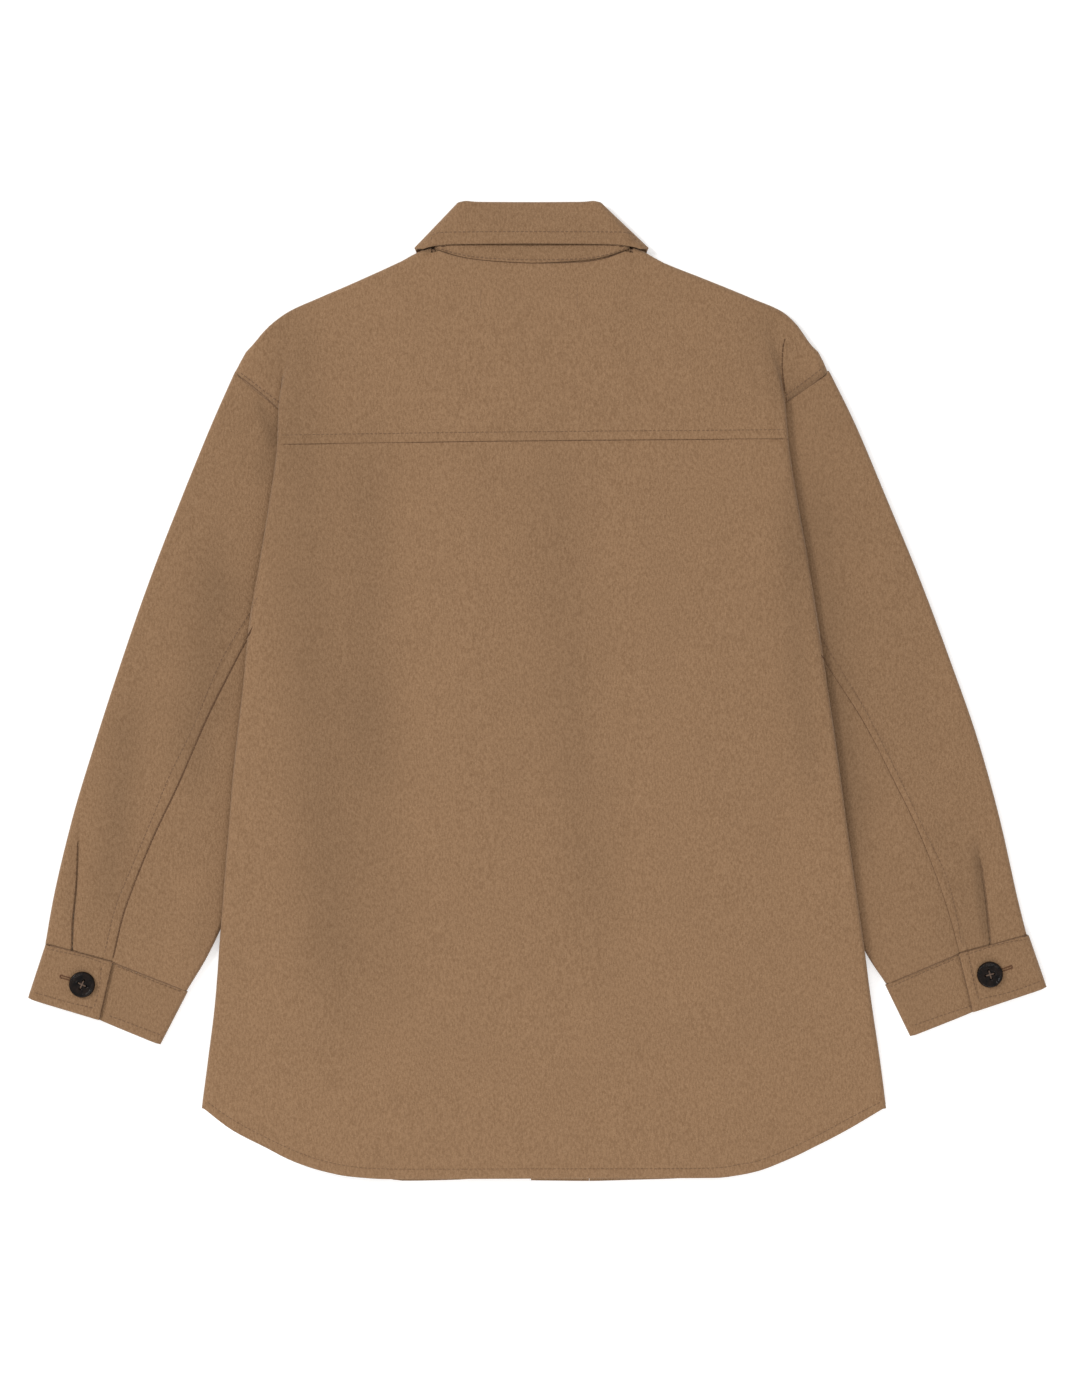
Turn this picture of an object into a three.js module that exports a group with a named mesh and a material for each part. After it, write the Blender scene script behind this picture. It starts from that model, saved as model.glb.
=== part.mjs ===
// A shacket laid flat and face down: back upwards, front on the surface.
// Millimetres, +Z up, +Y towards the collar, the surface at z = 0.
// "left" is the wearer's left and lies at -X.
import * as THREE from 'three';

// ---------------------------------------------------------------- sizes
const CLOTH = 2.2;            // thickness of the felted cloth
const GAP = 0.3;              // between two pieces at a seam
const PLY = CLOTH + 0.4;      // from the middle of one layer to the next
const LAPEL_LIFT = PLY + 0.3; // the fronts ride this much over the collar leaf
const SLEEVE_LOW = CLOTH / 2 + 4.2;    // middle of a sleeve's top layer under the body
const SLEEVE_FULL = 7.1;      // middle of a sleeve's top layer in the open
const HIDDEN = 1.0;           // hidden seams at the armhole and side
const OVER_SLEEVE = SLEEVE_LOW + PLY;  // middle of the body's lower layer over a sleeve
const BACK_MID = 12.8;        // middle of the back, above the placket
const BUTTON_D = 21.3;        // button diameter
const BUTTON_T = 3.2;         // button thickness
const HOLE_D = 2.3;           // button hole
const HOLE_OFF = 2.4;         // button hole from the button's middle, along X and Y
const PLACKET_HALF = 24;      // half the width of a front band
const CF = { yTop: 284, xTop: 3.3, yEnd: -400, xEnd: 18.9 };   // centre front line
const PLACKET_R = BUTTON_T + 0.4 + CLOTH / 2;   // middle of the right band, on the buttons
const PLACKET_L = PLACKET_R + PLY;              // middle of the left band, on the right one
const RISE = 42;              // a front rises to its band over this width
const SLEEVE_RAMP = 14;       // a front rises over a sleeve within this width
const FRONT_BUTTONS = { first: 262, step: 103, count: 6 };

// ---------------------------------------------------------------- tables
// Fold edge of the body, by height.
const SIDE = [
  { y: 312.8, left: -202.5, right: 200.1 }, { y: 284.1, left: -206.5, right: 200.5 },
  { y: 259.5, left: -209.9, right: 201.7 }, { y: 234.9, left: -212.0, right: 203.8 },
  { y: 202.9, left: -213.2, right: 206.6 }, { y: 157.0, left: -219.3, right: 213.6 },
  { y: 107.8, left: -227.5, right: 222.6 }, { y: 58.6, left: -235.8, right: 230.4 },
  { y: -7.0, left: -242.7, right: 240.3 }, { y: -72.6, left: -249.7, right: 249.3 },
  { y: -138.2, left: -255.0, right: 258.3 }, { y: -203.8, left: -260.3, right: 267.7 },
  { y: -253.0, left: -264.4, right: 274.7 }, { y: -302.2, left: -270.6, right: 282.1 },
  { y: -339.9, left: -275.5, right: 287.0 },
];
// Shoulder line, by width.
const SHOULDER = [
  { x: -248.0, y: 262.0 }, { x: -240.3, y: 273.5 }, { x: -233.7, y: 283.3 }, { x: -226.3, y: 293.1 },
  { x: -216.5, y: 303.0 }, { x: -202.5, y: 312.8 }, { x: -180.4, y: 322.7 }, { x: -157.4, y: 332.5 },
  { x: -135.3, y: 342.3 }, { x: -113.2, y: 352.2 }, { x: -86.9, y: 363.7 },
  { x: 78.7, y: 363.7 }, { x: 103.3, y: 352.2 }, { x: 128.7, y: 342.3 }, { x: 153.3, y: 332.5 },
  { x: 177.1, y: 322.7 }, { x: 200.1, y: 312.8 }, { x: 211.6, y: 303.0 }, { x: 218.9, y: 293.1 },
  { x: 225.5, y: 283.3 }, { x: 232.9, y: 273.5 }, { x: 240.3, y: 262.0 },
];
// Back neck seam.
const NECK = [
  { x: -86.9, y: 363.7 }, { x: -73.0, y: 358.3 }, { x: -54.9, y: 354.2 }, { x: -30.3, y: 351.8 },
  { x: 2.5, y: 350.5 }, { x: 35.3, y: 351.4 }, { x: 54.9, y: 354.2 }, { x: 68.1, y: 358.8 }, { x: 78.7, y: 363.7 },
];
// Seam between the yoke and the back.
const YOKE = [{ x: -220, y: 202.4 }, { x: -4, y: 205.6 }, { x: 212, y: 207.2 }];
// Seam between the yoke and a front: from the armhole to the neck; then the front neckline.
const FORWARD = [
  { side: -1, xArm: -230.4, yArm: 246.4, xNeck: -79.0, yNeck: 329.0 },
  { side: 1, xArm: 222.2, yArm: 250.5, xNeck: 72.0, yNeck: 329.0 },
];
const NECKLINE = [
  { off: 82.0, y: 329.0 }, { off: 70.0, y: 310.0 }, { off: 48.0, y: 293.0 }, { off: 26.0, y: 286.5 }, { off: -26.0, y: 284.0 },
];
// Back hem, and how far the fronts reach below it.
const HEM = [
  { x: -275.5, y: -339.9 }, { x: -250.9, y: -358.8 }, { x: -225.5, y: -371.9 }, { x: -197.6, y: -385.0 },
  { x: -177.9, y: -391.5 }, { x: -153.3, y: -396.5 }, { x: -120.5, y: -398.6 }, { x: -5.7, y: -398.2 },
  { x: 146.0, y: -397.6 }, { x: 166.5, y: -395.2 }, { x: 182.0, y: -391.8 }, { x: 200.1, y: -385.0 },
  { x: 229.6, y: -371.9 }, { x: 255.0, y: -358.8 }, { x: 287.0, y: -339.9 },
];
const LONGER = [
  { x: -290, by: 0 }, { x: -140, by: 0 }, { x: -108, by: 3.8 }, { x: -70, by: 3.2 }, { x: -26, by: 0.4 },
];
const LONGER_R = [
  { x: -6, by: 3.4 }, { x: 45, by: 4.0 }, { x: 100, by: 3.2 }, { x: 150, by: 0.8 }, { x: 170, by: 0 }, { x: 300, by: 0 },
];
// Armhole seam, the same for back and front: seen down to the fold, then hidden to the underarm.
const ARMHOLE = [
  { y: 262.0, left: -248.0, right: 240.3 }, { y: 246.4, left: -230.4, right: 218.0 },
  { y: 232.0, left: -212.4, right: 199.0 }, { y: 206.2, left: -200.9, right: 193.5 },
  { y: 169.3, left: -191.9, right: 185.3 }, { y: 116.0, left: -188.5, right: 182.0 },
  { y: 85.0, left: -184.0, right: 177.5 }, { y: 57.0, left: -175.0, right: 168.5 },
];
// The fold at the sides of the back. run and swell shape the step from the lower layer
// up to the back; low and high are its two heights.
const FOLD = [
  { y: 312.0, run: 22, swell: 0.0, low: 7.6, high: 8.0 },
  { y: 284.0, run: 18, swell: 0.0, low: 7.4, high: 9.2 },
  { y: 262.0, run: 9, swell: 0.0, low: 7.2, high: 12.0 },
  { y: 246.0, run: 3, swell: 1.4, low: 7.2, high: 13.6 },
  { y: 232.0, run: 0, swell: 3.0, low: 8.0, high: 13.9 },
  { y: 222.0, run: 0, swell: 3.0, low: 7.9, high: 13.9 },
  { y: -200.0, run: 0, swell: 3.0, low: 7.9, high: 13.9 },
  { y: -260.0, run: 0, swell: 3.0, low: 2.6, high: 9.6 },
  { y: -340.0, run: 0, swell: 3.0, low: 1.1, high: 7.1 },
];
const SIDE_SEAM = [   // how far the side seam lies inside the fold edge, below the underarm
  { y: 57.0, left: 59.8, right: 60.9 }, { y: 20.0, left: 46, right: 46 }, { y: -30.0, left: 34, right: 34 }, { y: -130.0, left: 20, right: 20 },
  { y: -240.0, left: 9, right: 9 }, { y: -340.0, left: 3.4, right: 3.4 },
];
// Height of the back between its folds, by height along the body.
const BACK = [
  { y: 364, mid: 11.6 }, { y: 300, mid: 12.6 }, { y: 200, mid: BACK_MID }, { y: -200, mid: BACK_MID },
  { y: -330, mid: 11.8 }, { y: -400, mid: 11.0 },
];
// Soft folds of the back, from (x1, y1) to (x2, y2); rise is negative for a trough.
const SOFT = [
  { x1: -122, y1: 182, x2: -150, y2: -240, rise: -2.4, wide: 42 },
  { x1: -4, y1: 182, x2: 50, y2: -90, rise: -1.5, wide: 34 },
  { x1: -58, y1: 150, x2: -45, y2: -200, rise: 1.3, wide: 36 },
  { x1: 130, y1: 120, x2: 150, y2: -260, rise: 0.9, wide: 50 },
];
// Sleeve edges and the back seam of the sleeve, matched row by row; armhole first.
const SLEEVE_L = [
  { ox: -248.0, oy: 262.0, sx: -191.9, sy: 169.3, ix: -186.0, iy: 48.0 },
  { ox: -265.7, oy: 222.6, sx: -198.5, sy: 121.0, ix: -198.0, iy: 20.0 },
  { ox: -292.7, oy: 157.0, sx: -222.0, sy: 73.0, ix: -207.5, iy: -10.0 },
  { ox: -318.2, oy: 91.4, sx: -248.0, sy: 25.0, ix: -215.0, iy: -50.0 },
  { ox: -341.1, oy: 25.8, sx: -272.0, sy: -23.0, ix: -227.5, iy: -96.0 },
  { ox: -362.4, oy: -39.8, sx: -294.5, sy: -75.0, ix: -240.0, iy: -138.0 },
  { ox: -382.1, oy: -105.4, sx: -318.0, sy: -125.0, ix: -252.0, iy: -176.0 },
  { ox: -397.6, oy: -171.0, sx: -341.0, sy: -186.0, ix: -270.0, iy: -216.0 },
  { ox: -403.9, oy: -206.8, sx: -349.0, sy: -221.4, ix: -287.0, iy: -244.6 },
];
const SLEEVE_R = [
  { ox: 240.3, oy: 262.0, sx: 185.3, sy: 171.8, ix: 179.5, iy: 48.0 },
  { ox: 259.9, oy: 222.6, sx: 192.0, sy: 110.0, ix: 192.0, iy: 20.0 },
  { ox: 287.8, oy: 157.0, sx: 216.0, sy: 58.0, ix: 203.5, iy: -10.0 },
  { ox: 314.9, oy: 91.4, sx: 242.5, sy: 15.0, ix: 212.5, iy: -50.0 },
  { ox: 339.5, oy: 25.8, sx: 267.5, sy: -24.0, ix: 226.0, iy: -96.0 },
  { ox: 362.4, oy: -39.8, sx: 292.0, sy: -71.0, ix: 240.0, iy: -140.0 },
  { ox: 380.5, oy: -105.4, sx: 316.0, sy: -121.0, ix: 254.0, iy: -179.0 },
  { ox: 395.2, oy: -171.0, sx: 338.0, sy: -181.5, ix: 271.0, iy: -216.0 },
  { ox: 402.6, oy: -200.5, sx: 346.9, sy: -214.4, ix: 286.2, iy: -239.0 },
];
// Pleats and the long soft hollow of a sleeve's top layer.
const SLEEVE_SOFT = [
  { x1: -377.5, y1: -125, x2: -382.5, y2: -206, rise: -1.8, wide: 5 },
  { x1: -317, y1: 26, x2: -342, y2: -105, rise: -1.6, wide: 20 },
  { x1: 366, y1: -135, x2: 372.5, y2: -199, rise: -1.8, wide: 6 },
  { x1: 322, y1: 30, x2: 345, y2: -90, rise: -1.2, wide: 18 },
];
// Cuff corners: o at the outer fold, f at the tab's edge, i at the inner fold; top seam, then free edge.
const CUFF_L = [
  { ox: -403.9, oy: -207.2, fx: -349.0, fy: -221.8, ix: -287.0, iy: -245.0 },
  { ox: -418.2, oy: -251.6, fx: -359.8, fy: -269.2, ix: -309.4, iy: -290.0 },
];
const CUFF_R = [
  { ox: 402.6, oy: -200.9, fx: 346.9, fy: -214.8, ix: 286.2, iy: -239.4 },
  { ox: 417.9, oy: -241.8, fx: 358.3, fy: -262.8, ix: 306.7, iy: -283.3 },
];
const UNDERLAP = 0.5;         // the cuff's under end reaches this share of the way to the outer fold
const CUFF_BUTTONS = [
  { name: 'cuff_button_left', x: -373.1, y: -240.4 }, { name: 'cuff_button_right', x: 371.5, y: -232.2 },
];
// Collar sections of the left half, from the centre back round the side to the front end.
// n: neck seam, r: roll line, e: free edge of the fall; turn: degrees round the side fold;
// up: how far the stand goes towards the roll line.
const COLLAR = [
  { nx: -4.0, ny: 350.8, nz: 11.9, rx: -4.0, ry: 401.1, rz: 4.0, ex: -4.0, ey: 367.8, ez: 12.4, turn: 0, r: 2.1, up: 1 },
  { nx: -30.0, ny: 352.1, nz: 11.9, rx: -27.0, ry: 401.1, rz: 4.6, ex: -38.0, ey: 367.6, ez: 12.4, turn: 0, r: 2.1, up: 1 },
  { nx: -55.0, ny: 354.6, nz: 11.6, rx: -47.0, ry: 401.0, rz: 6.4, ex: -70.0, ey: 367.2, ez: 12.2, turn: 0, r: 2.1, up: 1 },
  { nx: -72.0, ny: 358.6, nz: 11.0, rx: -58.0, ry: 401.6, rz: 7.8, ex: -88.0, ey: 365.2, ez: 11.6, turn: 0, r: 2.1, up: 0.9 },
  { nx: -81.5, ny: 362.0, nz: 9.8, rx: -62.0, ry: 400.6, rz: 7.6, ex: -95.5, ey: 363.2, ez: 10.0, turn: 40, r: 2.0, up: 0.6 },
  { nx: -84.0, ny: 363.2, nz: 7.0, rx: -63.3, ry: 399.6, rz: 5.2, ex: -100.0, ey: 363.6, ez: 5.4, turn: 90, r: 1.8, up: 0.5 },
  { nx: -81.0, ny: 361.0, nz: 4.3, rx: -62.5, ry: 396.5, rz: 3.0, ex: -98.5, ey: 358.5, ez: 1.1, turn: 160, r: 1.3, up: 0.5 },
  { nx: -78.5, ny: 348.0, nz: 3.7, rx: -57.0, ry: 386.0, rz: 2.4, ex: -92.0, ey: 340.0, ez: 1.1, turn: 180, r: 1.3, up: 0.6 },
  { nx: -77.5, ny: 330.0, nz: 3.7, rx: -46.0, ry: 364.0, rz: 2.4, ex: -81.0, ey: 302.0, ez: 1.1, turn: 180, r: 1.3, up: 0.9 },
  { nx: -64.0, ny: 310.0, nz: 3.7, rx: -31.0, ry: 338.0, rz: 2.4, ex: -72.0, ey: 270.0, ez: 1.1, turn: 180, r: 1.3, up: 1 },
  { nx: -42.0, ny: 293.2, nz: 3.7, rx: -16.0, ry: 315.0, rz: 2.4, ex: -67.0, ey: 251.0, ez: 1.1, turn: 180, r: 1.3, up: 1 },
];

// ---------------------------------------------------------------- helpers
const clamp = (v, a, b) => Math.min(b, Math.max(a, v));
const mix = (a, b, f) => a + (b - a) * f;
const ease = (f) => { const c = clamp(f, 0, 1); return c * c * (3 - 2 * c); };
const mixP = (a, b, f) => a.map((v, k) => mix(v, b[k], f));

// A column of a table at a value of its key, as a smooth curve that never overshoots.
function read(table, key, at, col) {
  const t = table[0][key] <= table[table.length - 1][key] ? table : [...table].reverse();
  const n = t.length;
  if (at <= t[0][key]) return t[0][col];
  if (at >= t[n - 1][key]) return t[n - 1][col];
  let i = 0;
  while (at > t[i + 1][key]) i += 1;
  const slope = (k) => (t[k + 1][col] - t[k][col]) / (t[k + 1][key] - t[k][key]);
  const tangent = (k) => {
    if (k === 0) return slope(0);
    if (k === n - 1) return slope(n - 2);
    const a = slope(k - 1), b = slope(k);
    return a * b <= 0 ? 0 : 2 * a * b / (a + b);
  };
  const h = t[i + 1][key] - t[i][key], f = (at - t[i][key]) / h;
  const f2 = f * f, f3 = f2 * f;
  return t[i][col] * (2 * f3 - 3 * f2 + 1) + t[i + 1][col] * (3 * f2 - 2 * f3)
    + h * (tangent(i) * (f3 - 2 * f2 + f) + tangent(i + 1) * (f3 - f2));
}
// The same by row number, from 0 to 1 over the table.
function row(table, f, col) {
  const rows = table.map((r, i) => ({ i: i / (table.length - 1), v: r[col] }));
  return read(rows, 'i', f, 'v');
}
// n + 1 points spread evenly along a line of points.
function respace(line, n) {
  const far = [0];
  for (let i = 1; i < line.length; i += 1) {
    far.push(far[i - 1] + Math.hypot(...line[i].map((v, k) => v - line[i - 1][k])));
  }
  const out = [];
  for (let j = 0, i = 1; j <= n; j += 1) {
    const at = far[far.length - 1] * j / n;
    while (i < line.length - 1 && far[i] < at) i += 1;
    out.push(mixP(line[i - 1], line[i], far[i] > far[i - 1] ? clamp((at - far[i - 1]) / (far[i] - far[i - 1]), 0, 1) : 0));
  }
  return out;
}
// Soft folds added to a height.
function soft(table, x, y) {
  return table.reduce((sum, s) => {
    const dx = s.x2 - s.x1, dy = s.y2 - s.y1, long = Math.hypot(dx, dy);
    const f = ((x - s.x1) * dx + (y - s.y1) * dy) / (long * long);
    const d = Math.abs((x - s.x1) * dy - (y - s.y1) * dx) / long;
    const end = ease((f + 0.25) / 0.4) * ease((1.15 - f) / 0.35);
    return sum + s.rise * end * Math.exp(-(d * d) / (s.wide * s.wide));
  }, 0);
}
// A wall of cloth: a grid of middle points, moved half the thickness to both sides and closed.
function wall(grid, keep = () => true, thick = CLOTH) {
  const R = grid.length, C = grid[0].length;
  const normals = grid.map((r) => r.map(() => new THREE.Vector3()));
  const V = (p) => new THREE.Vector3(...p);
  const cells = [];
  for (let i = 0; i < R - 1; i += 1) {
    for (let j = 0; j < C - 1; j += 1) {
      if (!keep(i, j)) continue;
      cells.push([i, j]);
      const a = V(grid[i][j]), b = V(grid[i][j + 1]), c = V(grid[i + 1][j + 1]), d = V(grid[i + 1][j]);
      const n = c.clone().sub(a).cross(d.clone().sub(b)).normalize();
      for (const [p, q] of [[i, j], [i, j + 1], [i + 1, j + 1], [i + 1, j]]) normals[p][q].add(n);
    }
  }
  const pos = [], index = [];
  for (const s of [1, -1]) {
    for (let i = 0; i < R; i += 1) {
      for (let j = 0; j < C; j += 1) {
        const n = normals[i][j].clone().normalize();
        pos.push(grid[i][j][0] + s * n.x * thick / 2, grid[i][j][1] + s * n.y * thick / 2, grid[i][j][2] + s * n.z * thick / 2);
      }
    }
  }
  const at = (i, j, s) => s * R * C + i * C + j;
  const kept = new Set(cells.map(([i, j]) => i * C + j));
  const has = (i, j) => i >= 0 && j >= 0 && i < R - 1 && j < C - 1 && kept.has(i * C + j);
  const quad = (a, b, c, d) => index.push(a, b, c, a, c, d);
  for (const [i, j] of cells) {
    quad(at(i, j, 0), at(i, j + 1, 0), at(i + 1, j + 1, 0), at(i + 1, j, 0));
    quad(at(i, j, 1), at(i + 1, j, 1), at(i + 1, j + 1, 1), at(i, j + 1, 1));
    if (!has(i - 1, j)) quad(at(i, j, 0), at(i, j, 1), at(i, j + 1, 1), at(i, j + 1, 0));
    if (!has(i + 1, j)) quad(at(i + 1, j + 1, 0), at(i + 1, j + 1, 1), at(i + 1, j, 1), at(i + 1, j, 0));
    if (!has(i, j - 1)) quad(at(i + 1, j, 0), at(i + 1, j, 1), at(i, j, 1), at(i, j, 0));
    if (!has(i, j + 1)) quad(at(i, j + 1, 0), at(i, j + 1, 1), at(i + 1, j + 1, 1), at(i + 1, j + 1, 0));
  }
  const g = new THREE.BufferGeometry();
  g.setAttribute('position', new THREE.Float32BufferAttribute(pos, 3));
  g.setIndex(index);
  return outward(g.toNonIndexed());
}
// Turns a closed surface outward.
function outward(g) {
  const p = g.attributes.position, a = new THREE.Vector3(), b = new THREE.Vector3(), c = new THREE.Vector3();
  let six = 0;
  for (let i = 0; i < p.count; i += 3) {
    a.fromBufferAttribute(p, i); b.fromBufferAttribute(p, i + 1); c.fromBufferAttribute(p, i + 2);
    six += a.dot(b.clone().cross(c));
  }
  if (six < 0) {
    for (let i = 0; i < p.count; i += 3) {
      b.fromBufferAttribute(p, i + 1); c.fromBufferAttribute(p, i + 2);
      p.setXYZ(i + 1, c.x, c.y, c.z); p.setXYZ(i + 2, b.x, b.y, b.z);
    }
  }
  g.computeVertexNormals();
  return g;
}

// ---------------------------------------------------------------- heights
const name = (side) => (side < 0 ? 'left' : 'right');
const sideX = (side, y) => read(SIDE, 'y', y, name(side)) - side * CLOTH / 2;
const armX = (side, y) => read(ARMHOLE, 'y', y, name(side));
const centreX = (y) => mix(CF.xTop, CF.xEnd, (y - CF.yTop) / (CF.yEnd - CF.yTop));
const sleeveRows = (side) => (side < 0 ? SLEEVE_L : SLEEVE_R);
const innerX = (side, y) => read(sleeveRows(side), 'iy', y, 'ix');
const UNDERARM = 57;
const seamX = (side, y) => sideX(side, y) - side * read(SIDE_SEAM, 'y', y, name(side));

// The floor leaf of the collar, as a four-cornered area that the fronts ride over.
const LEAF = [{ x: -62, y: 404 }, { x: -103, y: 364 }, { x: -68, y: 248 }, { x: 4, y: 300 }];
function overLeaf(side, x, y) {
  const px = side < 0 ? x : -x - 8;
  let d = -1e9;
  for (let k = 0; k < 4; k += 1) {
    const a = LEAF[k], b = LEAF[(k + 1) % 4], long = Math.hypot(b.x - a.x, b.y - a.y);
    d = Math.max(d, -((b.x - a.x) * (y - a.y) - (b.y - a.y) * (px - a.x)) / long);
  }
  return LAPEL_LIFT * (1 - ease((d - 14) / 18));
}
// Middle of the lower layer of the body.
function frontZ(side, x, y, tuck = false) {
  const band = side < 0 ? PLACKET_L : PLACKET_R;
  const off = (side < 0 ? centreX(y) - PLACKET_HALF - x : x - centreX(y) - PLACKET_HALF);
  const placket = (band - CLOTH / 2) * (1 - ease(off / RISE));
  const inside = (innerX(side, y) - x) * side;
  const reach = tuck && y > UNDERARM - 10 ? 1 : ease(1 - (inside - 5) / SLEEVE_RAMP) * ease((y + 262) / 40);
  const low = y > UNDERARM + 6 ? 0 : ease((UNDERARM + 4 - y) / 24);
  const sleeve = (OVER_SLEEVE - CLOTH / 2) * reach * (tuck ? 1 : low);
  return CLOTH / 2 + Math.max(placket, overLeaf(side, x, y), sleeve);
}
// Middle of the upper layer of the body between its folds.
function backZ(x, y) {
  const mid = read(BACK, 'y', y, 'mid');
  const side = x < 0 ? -1 : 1;
  const edge = Math.abs(read(SIDE, 'y', y, name(side)));
  const share = ease((Math.abs(x) / edge - 0.5) / 0.5);
  return mix(mid, read(FOLD, 'y', y, 'high'), share) + soft(SOFT, x, y) * (1 - ease((share - 0.4) / 0.5));
}

// The side fold at a height: from the hidden seam (or the seen armhole seam) out, round and onto the back.
function foldLine(side, y, start) {
  const run = read(FOLD, 'y', y, 'run'), swell = read(FOLD, 'y', y, 'swell');
  const high = read(FOLD, 'y', y, 'high');
  const edge = sideX(side, y);
  const foot = edge - side * swell;
  const under = start[1] < 236;
  const low = under && y < 222 ? frontZ(side, foot, y, true) : read(FOLD, 'y', y, 'low');
  const line = [];
  for (let k = 0; k <= 6; k += 1) {
    const f = k / 6, x = mix(start[0], foot, f);
    line.push([x, mix(start[1], y, f), y < 222 ? frontZ(side, x, y, true) : mix(start[2], low, ease(f * 1.2))]);
  }
  for (let k = 1; k <= 10; k += 1) {
    const th = Math.PI * k / 10;
    line.push([foot - side * run * th / Math.PI + side * swell * Math.sin(th), y, mix(low, high, (1 - Math.cos(th)) / 2)]);
  }
  return line;
}

// ---------------------------------------------------------------- body
const FOLD_COLS = 8, TOP_COLS = 16;

function backPanel() {
  const rowsN = 12, grid = [];
  for (let i = 0; i <= rowsN; i += 1) {
    const v = i / rowsN, line = [];
    const ends = [-1, 1].map((side) => {
      const y0 = read(YOKE, 'x', side * 215, 'y') - GAP / 2, y1 = -339.9;
      const y = mix(y0, y1, v);
      const start = y >= UNDERARM ? [armX(side, y), y, 0] : [seamX(side, y), y, 0];
      start[0] += side * GAP;
      return respace(foldLine(side, y, start), FOLD_COLS);
    });
    line.push(...ends[0]);
    const a = ends[0][FOLD_COLS], b = ends[1][FOLD_COLS];
    for (let j = 1; j < TOP_COLS; j += 1) {
      const x = mix(a[0], b[0], j / TOP_COLS);
      const y = mix(read(YOKE, 'x', x, 'y') - GAP / 2, read(HEM, 'x', x, 'y'), v);
      line.push([x, y, backZ(x, y)]);
    }
    line.push(...ends[1].reverse());
    grid.push(line);
  }
  return wall(grid);
}

const WRAP = 4.0;             // half the depth of the fold over the shoulder
const NECK_COLS = { from: FOLD_COLS + 5, to: FOLD_COLS + 11 };
function yoke() {
  const rowsN = 6, arcN = 5, stripN = 2;
  const rim = (x) => read(SHOULDER, 'x', x, 'y') - CLOTH / 2 - WRAP;
  const top = [];
  for (let i = 0; i <= rowsN; i += 1) {
    const v = i / rowsN;
    const ends = [-1, 1].map((side) => {
      const seam = read(YOKE, 'x', side * 215, 'y') + GAP / 2;
      const yArm = mix(262, seam, v) - (1 - v) * WRAP, yC = mix(rim(side * 202), seam, v);
      const start = [armX(side, yArm) - side * GAP, yArm, read(FOLD, 'y', mix(yC, yArm, 0.8), 'low')];
      return respace(foldLine(side, yC, start), FOLD_COLS)
        .map(([x, y, z], c) => [x, y + (1 - v) ** 3 * Math.min(1, c / FOLD_COLS * 8) * (Math.min(rim(x), 400) - y) * (v === 0 ? 1 : 0.9), z]);
    });
    const line = [...ends[0]], a = ends[0][FOLD_COLS], b = ends[1][FOLD_COLS];
    for (let k = 1; k < TOP_COLS; k += 1) {
      const nl = mix(-86.9, -70, v), nr = mix(78.7, 66, v);
      const x = k <= 5 ? mix(a[0], nl, k / 5) : k <= 11 ? mix(nl, nr, (k - 5) / 6) : mix(nr, b[0], (k - 11) / 5);
      const y0 = k >= 5 && k <= 11 ? read(NECK, 'x', x, 'y') - (k === 5 || k === 11 ? WRAP : 0) : rim(x);
      const y = mix(y0, read(YOKE, 'x', x, 'y') + GAP / 2, v);
      line.push([x, y, mix(backZ(x, y), k > 5 && k < 11 ? backZ(x, y) : 9.4, (1 - v) ** 4)]);
    }
    line.push(...ends[1].reverse());
    top.push(line);
  }
  // over the shoulder and down to the seams with the fronts
  const over = [];
  for (let k = stripN + arcN; k >= 1; k -= 1) {
    over.push(top[0].map(([x, y, z], j) => {
      const side = j < FOLD_COLS + 8 ? -1 : 1, f = FORWARD[side < 0 ? 0 : 1];
      const neck = j > NECK_COLS.from && j < NECK_COLS.to;
      if (neck) return [x, y + 0.4 * k, z];
      const zLow = frontZ(side, x, y), mid = (z + zLow) / 2, r = (z - zLow) / 2;
      if (k <= arcN) {
        const th = Math.PI * k / arcN;
        const tip = ease(1 - Math.min(j, top[0].length - 1 - j) / 2) * 0.95;   // along the armhole at the shoulder's tip
        return [x + side * tip * WRAP * Math.sin(th), y + WRAP * Math.sin(th), mid + r * Math.cos(th)];
      }
      const w = (k - arcN) / stripN, far = clamp((side * x - 82) / (248 - 82), 0, 1);
      const xs = mix(x, mix(f.xNeck, f.xArm, far), w);
      const ys = mix(y, mix(f.yNeck, f.yArm, far) + GAP / 2, w);
      return [xs, ys, frontZ(side, xs, ys)];
    }));
  }
  const wrapRows = stripN + arcN;
  return wall([...over, ...top], (i, j) => i >= wrapRows || j < NECK_COLS.from || j >= NECK_COLS.to);
}

// One front, from the yoke seam and neckline to the hem, and from the armhole and side seam to its band.
function frontTop(side, x) {
  const f = FORWARD[side < 0 ? 0 : 1], off = side * (x - 3.3);
  if (side * x >= side * f.xNeck) return mix(f.yNeck, f.yArm, (x - f.xNeck) / (f.xArm - f.xNeck)) - GAP / 2;
  return read(NECKLINE, 'off', off, 'y') - 0.2;
}
const hemY = (side, x) => read(HEM, 'x', x, 'y') - read(side < 0 ? LONGER : LONGER_R, 'x', x, 'by');
function front(side) {
  const cols = 13, rowsN = 16, grid = [];
  for (let i = 0; i <= rowsN; i += 1) {
    const v = i / rowsN, line = [];
    const yOut = mix(FORWARD[side < 0 ? 0 : 1].yArm - GAP, -339.9, v ** 1.4);
    for (let j = 0; j <= cols; j += 1) {
      const u = j / cols;
      let x = 0, y = yOut;
      for (let n = 0; n < 8; n += 1) {
        const out = (y > UNDERARM ? armX(side, y) : seamX(side, y)) - side * HIDDEN;
        const inn = centreX(y) + side * (PLACKET_HALF + GAP / 2);
        x = mix(out, inn, u);
        y = mix(frontTop(side, x), hemY(side, x), v ** 1.4);
      }
      line.push([x, y, frontZ(side, x, y)]);
    }
    grid.push(line);
  }
  return wall(grid);
}
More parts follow.
